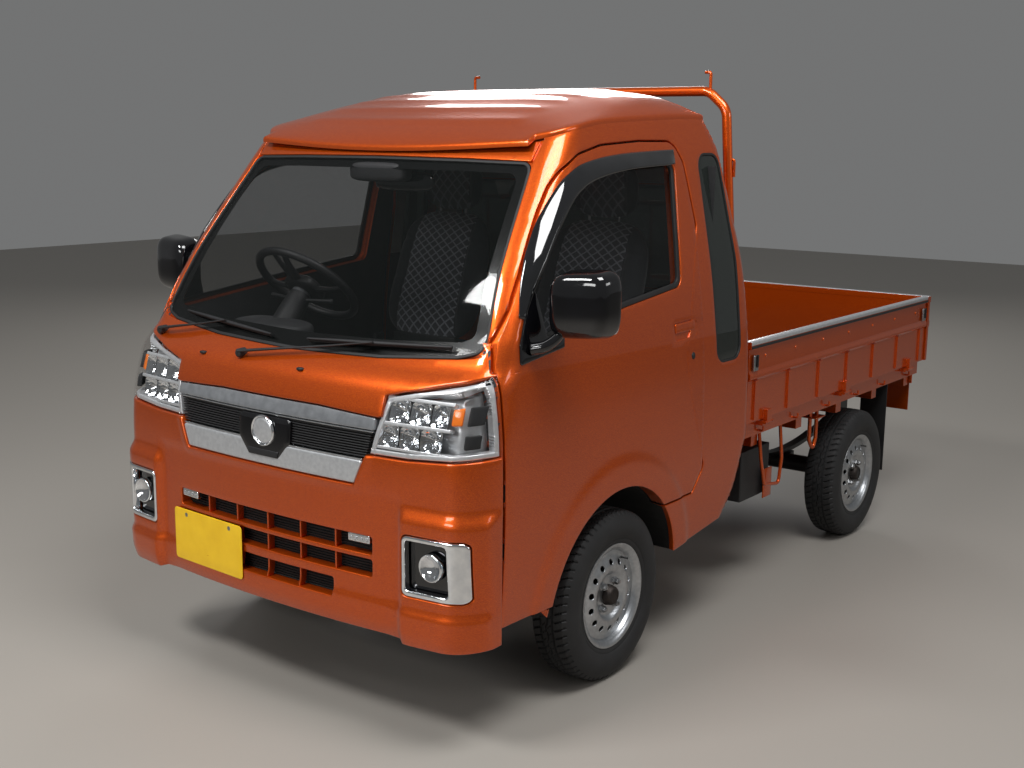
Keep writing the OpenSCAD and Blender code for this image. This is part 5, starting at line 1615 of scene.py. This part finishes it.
def plates():
    x = -0.18 * truck["width"]
    turn = math.atan(2 * crown * x)
    y = nose + 4.2 + crown * x * x + 1.2

    def front(u, v):
        return np.stack([x + u * math.cos(turn), y - 2 + u * math.sin(turn), 430 + v], -1)

    def rear(u, v):
        return np.stack([-u, tail - 60 + 2.3 + 0 * u, 542 + v], -1)
    loop = rounded([[-165, -82], [165, -82], [165, 82], [-165, 82]], 12)
    for name, place in (("frontPlate", front), ("rearPlate", rear)):
        made = panel(name, place, [loop], "plateYellow", step=20, hem=0.8, flange=1.6)
        panel(name + "Rim", place, [grown(loop, -3), grown(loop, -6.5)], "plateYellow",
              step=6, edge=6, hem=0.7, flange=0.7, sink=-0.25)
        if name == "frontPlate":
            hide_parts("number_plates")
        bolts = [panel(f"{name}Bolt{k}", place, [rounded([[c - 7, 58], [c + 7, 58], [c + 7, 72],
                                                         [c - 7, 72]], 6.9)], "steel", step=6,
                       edge=3, hem=0.9, flange=0.9, sink=-0.25) for k, c in enumerate((-105, 105))]
        joined(name + "Bolts", bolts)


print("wipers")


def screenPoint(x, z, lift):
    p = np.array([[float(girthAtX(np.array(x + 1e-6), np.array(float(z)))), z]])
    return (skin(p[:, 0], p[:, 1]) + lift * surfaceNormal(skin, p))[0]


def wiper(name, pivot, knee, ends):
    base = screenPoint(*pivot, 8)
    mid = screenPoint(*knee, 22)
    lathe(name + "Cap", [[0.01, 16], [9, 15], [13, 11], [14, -14]], base, -1, "texturedBlack",
          axis="y", steps=32)
    arm = [base + np.array([0, -10, 6]), base * 0.8 + mid * 0.2 + np.array([0, -9, 5]),
           base * 0.35 + mid * 0.65, mid]
    tubeAlong(name + "Arm", arm, [9, 8, 5, 4.5], "texturedBlack", flat=0.55, around=16)
    line = [screenPoint(ends[0][0] + (ends[1][0] - ends[0][0]) * t,
                        ends[0][1] + (ends[1][1] - ends[0][1]) * t, 10) for t in
            np.linspace(0, 1, 16)]
    tubeAlong(name + "Blade", line, [3.5, 6.5, 7, 6.5, 3.5], "texturedBlack", flat=0.8, smooth=1,
              around=14)
    lip = [screenPoint(ends[0][0] + (ends[1][0] - ends[0][0]) * t,
                       ends[0][1] + (ends[1][1] - ends[0][1]) * t - 2, 3) for t in
           np.linspace(0.01, 0.99, 16)]
    return tubeAlong(name + "Lip", lip, 2.6, "rubber", flat=1.4, smooth=1, around=10)


def washers():
    for k, x in enumerate((-330, 100)):
        p = screenPoint(x, 1000, 0)
        superBlock(f"washerNozzle{k}", p + np.array([0, -2, 1]), (24, 16, 9), 3, "texturedBlack",
                   n=14)


print("cabin")
seatForm = dict(x=0.225 * truck["width"], width=470, base=truck["seatBase"] + 0.3, front=nose + 620,
                rear=nose + 1140, thick=105, voxel=10, swell=14, bolster=16, seam=3.0,
                back=(430, 505, 98), head=(262, 196, 80), cap=9, headCap=6,
                lean=(140, 400))  # back and head rest: width, height, thickness


def swollen(made, cap):
    # stuffing pressure through a cloth solve, with the movement capped
    bpy.context.view_layer.objects.active = made
    remesh = made.modifiers.new("remesh", "REMESH")
    remesh.mode, remesh.voxel_size = "VOXEL", seatForm["voxel"] * mm
    deps = bpy.context.evaluated_depsgraph_get()
    mesh = bpy.data.meshes.new_from_object(made.evaluated_get(deps))
    made.modifiers.clear()
    made.data = mesh
    rest = np.empty(len(mesh.vertices) * 3)
    mesh.vertices.foreach_get("co", rest)
    cloth = made.modifiers.new("cloth", "CLOTH")
    settings = cloth.settings
    settings.quality = 4
    settings.use_pressure = True
    settings.uniform_pressure_force = 4
    settings.effector_weights.gravity = 0
    settings.tension_stiffness = settings.compression_stiffness = 20
    cloth.collision_settings.use_self_collision = False
    scene = bpy.context.scene
    for step in range(1, 21):
        scene.frame_set(step)
    solved = bpy.data.meshes.new_from_object(made.evaluated_get(
        bpy.context.evaluated_depsgraph_get()))
    made.modifiers.clear()
    scene.frame_set(1)
    now = np.empty(len(solved.vertices) * 3)
    solved.vertices.foreach_get("co", now)
    move = (now - rest).reshape(-1, 3)
    far = np.linalg.norm(move, axis=1, keepdims=True)
    print(f"{made.name}: stuffing moved the cloth {far.mean() / mm:.1f} mm on average, "
          f"{far.max() / mm:.1f} mm at most, capped at {cap} mm")
    move *= np.minimum(1, cap * mm / np.maximum(far, 1e-9))
    mesh.vertices.foreach_set("co", (rest.reshape(-1, 3) + move).ravel())
    made.data = mesh
    mesh.update()
    return made


def pad(name, size, rounding, place, seams, insert, cap, body="chassis"):
    # a closed padded form: a rounded block in its own axes, stuffed, sewn, then set in place
    bm = bmesh.new()
    bmesh.ops.create_cube(bm, size=2.0)
    bmesh.ops.subdivide_edges(bm, edges=bm.edges[:], cuts=18, use_grid_fill=True)
    half = np.array(size, float) / 2
    for v in bm.verts:
        p = np.array(v.co)
        q = np.abs(p) ** rounding
        p = p / max(q.sum() ** (1 / rounding), 1e-9) * np.abs(p).max()
        v.co = Vector(p * (half - seatForm["swell"] * 0.4) * mm)
    mesh = bpy.data.meshes.new(name)
    bm.to_mesh(mesh)
    bm.free()
    made = bpy.data.objects.new(name, mesh)
    bpy.context.scene.collection.objects.link(made)
    swollen(made, cap)
    mesh = made.data
    p = np.empty(len(mesh.vertices) * 3)
    mesh.vertices.foreach_get("co", p)
    p = p.reshape(-1, 3) / mm
    # bolsters rise beside the insert, channels are sewn down between them
    u = np.abs(p[:, 0]) / half[0]
    top = smoothStep(0.15, 0.7, p[:, 2] / half[2])
    p[:, 2] += top * seatForm["bolster"] * (smoothStep(insert, insert + 0.2, u)
                                            * (1 - smoothStep(0.86, 1.0, u)) - 0.4)
    for axis, at in seams:
        d = np.abs(np.abs(p[:, axis]) - at) if axis == 0 else np.abs(p[:, axis] - at)
        p[:, 2] -= top * seatForm["seam"] * 2 * np.exp(-(d / 5.0) ** 2)
    mesh.vertices.foreach_set("co", (place(p) * mm).ravel())
    mesh.update()
    mesh.materials.append(finish["seatInsert"])
    mesh.materials.append(finish["seatSide"])
    centres = np.array([np.mean([p[i] for i in f.vertices], 0) for f in mesh.polygons])
    side = (np.abs(centres[:, 0]) / half[0] > insert + 0.02) | (centres[:, 2] < 0)
    mesh.polygons.foreach_set("material_index", side.astype(int))
    mesh.polygons.foreach_set("use_smooth", [True] * len(mesh.polygons))
    made.modifiers.new("fine", "SUBSURF").levels = 1
    made.modifiers["fine"].render_levels = 1
    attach(made, body)
    return made


def seat(sign):
    word = sideName(sign)
    x0 = sign * seatForm["x"]
    depth = seatForm["rear"] - seatForm["front"]

    def flat(p):
        y = seatForm["front"] + depth / 2 - p[:, 1]
        return np.stack([x0 + p[:, 0], y, seatForm["base"] + seatForm["thick"] / 2 + p[:, 2]], -1)
    cushion = pad("seatCushion" + word, (seatForm["width"] - 6, depth - 6, seatForm["thick"] - 4),
                  4.0, flat, [(0, 0.62 * seatForm["width"] / 2), (1, 90), (1, -60)], 0.6,
                  seatForm["cap"])

    lean = math.atan2(*seatForm["lean"])

    def upright(p):
        # local z faces forward, local y runs up the lean
        y = nose + 1180 + p[:, 1] * math.sin(lean) - p[:, 2] * math.cos(lean)
        z = 1148 + p[:, 1] * math.cos(lean) + p[:, 2] * math.sin(lean)
        return np.stack([x0 + p[:, 0] * (1 - 0.06 * p[:, 1] / 240), y, z], -1)
    pad("seatBack" + word, seatForm["back"], 3.6, upright,
        [(0, 0.62 * seatForm["back"][0] / 2), (1, 120), (1, -20)], 0.6, seatForm["cap"])

    def high(p):
        return np.stack([x0 + p[:, 0], nose + 1257 - p[:, 2], 1477 + p[:, 1]], -1)
    pad("headRest" + word, seatForm["head"], 3.2, high, [(0, 92)], 0.66, seatForm["headCap"])
    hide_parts("seat_" + sideWord(sign))
    posts = [tubeAlong(f"headRestPost{word}{k}", [(x0 + d, nose + 1250, 1340),
                                                  (x0 + d, nose + 1256, 1400)], 6, "steel",
                       smooth=0) for k, d in enumerate((-60, 60))]
    joined("headRestPosts" + word, posts)
    roundedBox("seatFrame" + word, (x0 - 150, nose + 1082, seatForm["base"] + 60),
               (x0 + 150, nose + 1112, seatForm["base"] + 150), 8, "texturedBlack")
    roundedBox("reclineLever" + word, (x0 + sign * 232 - 8, nose + 1070, 850),
               (x0 + sign * 232 + 8, nose + 1120, 920), 6, "texturedBlack")
    outer = x0 + sign * 318
    tubeAlong("seatBelt" + word, [(sign * 648, nose + 1395, 1560), (sign * 650, nose + 1380, 1300),
                                  (sign * 652, nose + 1372, 960)], 23, "belt", flat=0.06,
              around=16)
    return outer


def wheelFrame():
    centre = np.array((-0.217 * truck["width"], nose + 497, 1172.0))
    tilt = math.radians(42)
    across = np.array((1.0, 0, 0))
    up = np.array((0, math.cos(tilt), -math.sin(tilt)))
    out = np.array((0, math.sin(tilt), math.cos(tilt)))
    return centre, across, up, out


def steeringWheel():
    centre, across, up, out = wheelFrame()
    n = 72
    ring = []
    for k in range(n):
        a = 2 * pi * k / n
        ring.append(centre + 172 * (across * math.cos(a) + up * math.sin(a)))
    rim = tubeAlong("steeringRim", ring + [ring[0]], 13.5, "leather", "steering_wheel",
                    around=24, smooth=0)
    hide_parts("steering_wheel")
    for k, a in enumerate((0, 180, 262, 278)):
        a = math.radians(a)
        way = across * math.cos(a) - up * math.sin(a) * -1
        tubeAlong(f"steeringSpoke{k}", [centre + way * 38 - out * 16, centre + way * 110 - out * 12,
                                        centre + way * 166], [20, 13, 9], "leather",
                  "steering_wheel", flat=0.6)

    def shape(p):
        return p[..., 0:1] * across + p[..., 1:2] * up + p[..., 2:3] * out
    bm = bmesh.new()
    bmesh.ops.create_cube(bm, size=2.0)
    bmesh.ops.subdivide_edges(bm, edges=bm.edges[:], cuts=10, use_grid_fill=True)
    for v in bm.verts:
        p = np.array(v.co)
        p = p / (np.abs(p) ** 3.2).sum() ** (1 / 3.2)
        p = p * (66, 56, 22)
        v.co = Vector((centre + shape(p) - out * 14) * mm)
    mesh = bpy.data.meshes.new("steeringPad")
    bm.to_mesh(mesh)
    bm.free()
    hub = bpy.data.objects.new("steeringPad", mesh)
    bpy.context.scene.collection.objects.link(hub)
    mesh.materials.append(finish["leather"])
    mesh.polygons.foreach_set("use_smooth", [True] * len(mesh.polygons))
    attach(hub, "steering_wheel")
    tubeAlong("steeringColumn", [centre - out * 232, centre - out * 120, centre - out * 46],
              [44, 44, 38], "texturedBlack", flat=0.9)
    for k, sign in enumerate((-1, 1)):
        tubeAlong(f"columnLever{k}", [centre - out * 62 + across * sign * 30,
                                      centre - out * 54 + across * sign * 90 + up * 6,
                                      centre - out * 46 + across * sign * 140 + up * 14],
                  [5, 5.5, 8], "texturedBlack")


def cabinDetails():
    # binnacle, centre screen, console with its heater knobs, and the vents of the dashboard
    superBlock("gaugeBinnacle", (-320, nose + 345, 1046), (300, 130, 62), 3.5, "trim", n=24)
    superBlock("gaugeGlass", (-320, nose + 396, 1050), (230, 34, 40), 4, "screen", n=20)
    roundedBox("centreScreen", (-96, nose + 386, 938), (96, nose + 406, 1030), 5, "screen")
    roundedBox("centreConsole", (-110, nose + 330, 846), (110, nose + 400, 934), 12, "trim")
    knobs = [lathe(f"heaterKnob{k}", [[0.01, 16], [14, 15], [17, 10], [18, 0]],
                   (x, nose + 398, 892), 1, "texturedBlack", axis="y", steps=28)
             for k, x in enumerate((-66, 0, 66))]
    joined("heaterKnobs", knobs)
    for k, x in enumerate((-560, -170, 170, 560)):
        slats = [roundedBox(f"ventSlat{k}{j}", (x - 48, nose + 384, 966 + j * 12),
                            (x + 48, nose + 402, 971 + j * 12), 1.5, "texturedBlack")
                 for j in range(4)]
        joined(f"airVent{k}", slats)
    # mirror, camera cover, visors and the grab handle
    top = float(screenPoint(0, 1540, 0)[1])
    superBlock("roomMirror", (60, top + 92, 1512), (236, 20, 60), 4, "gloss", n=24)
    tubeAlong("roomMirrorStem", [(40, top + 92, 1530), (20, top + 60, 1560)], 7,
              "texturedBlack", smooth=0)
    superBlock("cameraCover", (0, top + 50, 1540), (230, 64, 60), 4, "trim", n=24)
    for sign in (1, -1):
        word = sideName(sign)
        superBlock("sunVisor" + word, (sign * 330, top + 190, 1645), (400, 140, 22), 4,
                   "headliner", n=24)
    tubeAlong("grabHandle", bent([(574, nose + 335, 1180), (548, nose + 372, 1200),
                                  (520, nose + 470, 1420), (540, nose + 470, 1450)], 24), 9,
              "texturedBlack")


def tailLamps():
    lampBox = dict(low=445, high=545, inner=530, outer=657.5, front=1644.3, rear=1678)
    for sign in (1, -1):
        word = sideName(sign)
        a, b = sorted((sign * lampBox["inner"], sign * lampBox["outer"]))
        roundedBox("tailLampCase" + word, (a, lampBox["front"], lampBox["low"]),
                   (b, lampBox["rear"] - 14, lampBox["high"]), 6, "texturedBlack")
        w = (b - a - 8) / 3
        for k, (kind, tint) in enumerate([("Indicator", "amber"), ("Brake", "red"),
                                          ("Reverse", "lens")]):
            at = (2 - k) if sign > 0 else k
            x0 = a + 4 + at * w
            made = roundedBox(f"tailLamp{kind}{word}", (x0 + 1, lampBox["rear"] - 16,
                                                        lampBox["low"] + 5),
                              (x0 + w - 1, lampBox["rear"] - 1, lampBox["high"] - 5), 5, tint)
            if kind == "Brake" and sign > 0:
                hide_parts("tail_lamps")
            ribs = [roundedBox(f"tailFacet{kind}{word}{j}", (x0 + 3, lampBox["rear"] - 15.6,
                                                            lampBox["low"] + 9 + j * 12),
                               (x0 + w - 3, lampBox["rear"] - 12.5, lampBox["low"] + 17 + j * 12),
                               1.2, "chrome", segments=1) for j in range(7)]
            joined(f"tailReflector{kind}{word}", ribs)


print("exterior")
for sign in (1, -1):
    sideFrame(sign)
    doorSkin(sign)
    sideGlass(sign)
    doorVisor(sign)
    mirrorUnit(sign)
    doorHandle(sign)
    headlamps(sign)
    fogLamps(sign)
    markerLamps(sign)
    gateTrim(sign)
    bedBrackets(sign)
    seat(sign)
    insetCopy("door_" + sideWord(sign), "doorInner" + sideName(sign), 5, doorFace,
              "door_" + sideWord(sign))
roof()
header()
hood()
bumperSkin()
grille()
badge()
windscreen()
rearPanel()
insetCopy("cab_shell", "cabInner", 6, cabFace)
insetCopy("cab_floor", "cabPan", 6, cabFace)
tailTrim()
bedMat()
guard()
plates()
wiperLeft = wiper("wiperPassenger", (-160, 1012), (310, 1078), ((60, 1070), (560, 1092)))
wiper("wiperDriver", (-600, 1030), (-300, 1083), ((-520, 1096), (-90, 1068)))
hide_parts("wipers")
washers()
steeringWheel()
cabinDetails()
tailLamps()
for where in wheelPlaces:
    tyre(where)
    rim(where)

for node, material, bevel in [
        ("bed_deck", "paint", 1.5), ("bed_beams", "paint", 1.5), ("chassis_frame", "chassis", 3),
        ("door_hinges", "chassis", 1), ("knuckle_left", "brakeIron", 2),
        ("knuckle_right", "brakeIron", 2), ("front_suspension", "chassis", 2),
        ("rear_axle", "chassis", 0), ("leaf_springs", "chassis", 0.8),
        ("engine", "castAlloy", 6), ("fuel_tank", "underseal", 14), ("battery_box",
                                                                    "texturedBlack", 8),
        ("exhaust", "steel", 0), ("mudflaps", "rubber", 1), ("dashboard", "dashGrey", 10)]:
    keepNode(node, material, bevel)

room = dict(air="#cfd0d0", strength=0.27, floor="#98938c", reach=14)  # floor reach in metres
world = bpy.data.worlds.new("softRoom")
world.use_nodes = True
background = world.node_tree.nodes["Background"]
background.inputs["Color"].default_value = hexToLinear(room["air"])
background.inputs["Strength"].default_value = room["strength"]
bpy.context.scene.world = world

floorMesh = bpy.data.meshes.new("floor")
reach = room["reach"]
corners = [(-reach, -reach, 0), (reach, -reach, 0), (reach, reach, 0), (-reach, reach, 0)]
floorMesh.from_pydata(corners, [], [(0, 1, 2, 3)])
floor = bpy.data.objects.new("floor", floorMesh)
bpy.context.scene.collection.objects.link(floor)
floorMesh.materials.append(newMaterial("paleFloor", Base_Color=room["floor"], Roughness=0.5)[0])


def softLight(name, place, aim, size, power, tint="#ffffff"):
    lamp = bpy.data.lights.new(name, "AREA")
    lamp.shape = "RECTANGLE"
    lamp.size, lamp.size_y = size
    lamp.energy = power
    lamp.color = hexToLinear(tint)[:3]
    holder = bpy.data.objects.new(name, lamp)
    holder.location = place
    holder.rotation_euler = (Vector(aim) - Vector(place)).to_track_quat("-Z", "Y").to_euler()
    bpy.context.scene.collection.objects.link(holder)


softLight("overhead", (2.3, -1.6, 5.0), (0.2, -0.7, 0.6), (2.4, 1.8), 180)
softLight("hoodLight", (-0.8, -4.3, 4.7), (0, -1.5, 0.9), (1.8, 0.9), 175)
softLight("frontFill", (0.5, -7.0, 3.2), (0, -0.8, 0.9), (3.0, 1.0), 90)
softLight("sideFill", (6.0, 1.5, 3.2), (0.5, 0.3, 0.8), (3.0, 1.0), 45)
softLight("rearFill", (-4.5, 6.0, 4.0), (0, 0.3, 0.6), (3.0, 2.0), 150)
bpy.context.scene.view_settings.view_transform = "Standard"

view = dict(place=(2.733, -4.125, 1.652), azimuth=37.12, elevation=10.9, roll=0.6, lens=45.31)


def makeCamera():
    data = bpy.data.cameras.new("camera")
    data.lens, data.sensor_width = view["lens"], 36.0
    az, el, roll = (math.radians(view[k]) for k in ("azimuth", "elevation", "roll"))
    forward = Vector((-math.sin(az) * math.cos(el), math.cos(az) * math.cos(el), -math.sin(el)))
    right = forward.cross(Vector((0, 0, 1))).normalized()
    up = right.cross(forward)
    across = right * math.cos(roll) + up * math.sin(roll)
    upright = up * math.cos(roll) - right * math.sin(roll)
    holder = bpy.data.objects.new("camera", data)
    turn = Matrix((across, upright, -forward)).transposed().to_4x4()
    holder.matrix_world = Matrix.Translation(view["place"]) @ turn
    bpy.context.scene.collection.objects.link(holder)
    bpy.context.scene.camera = holder


makeCamera()
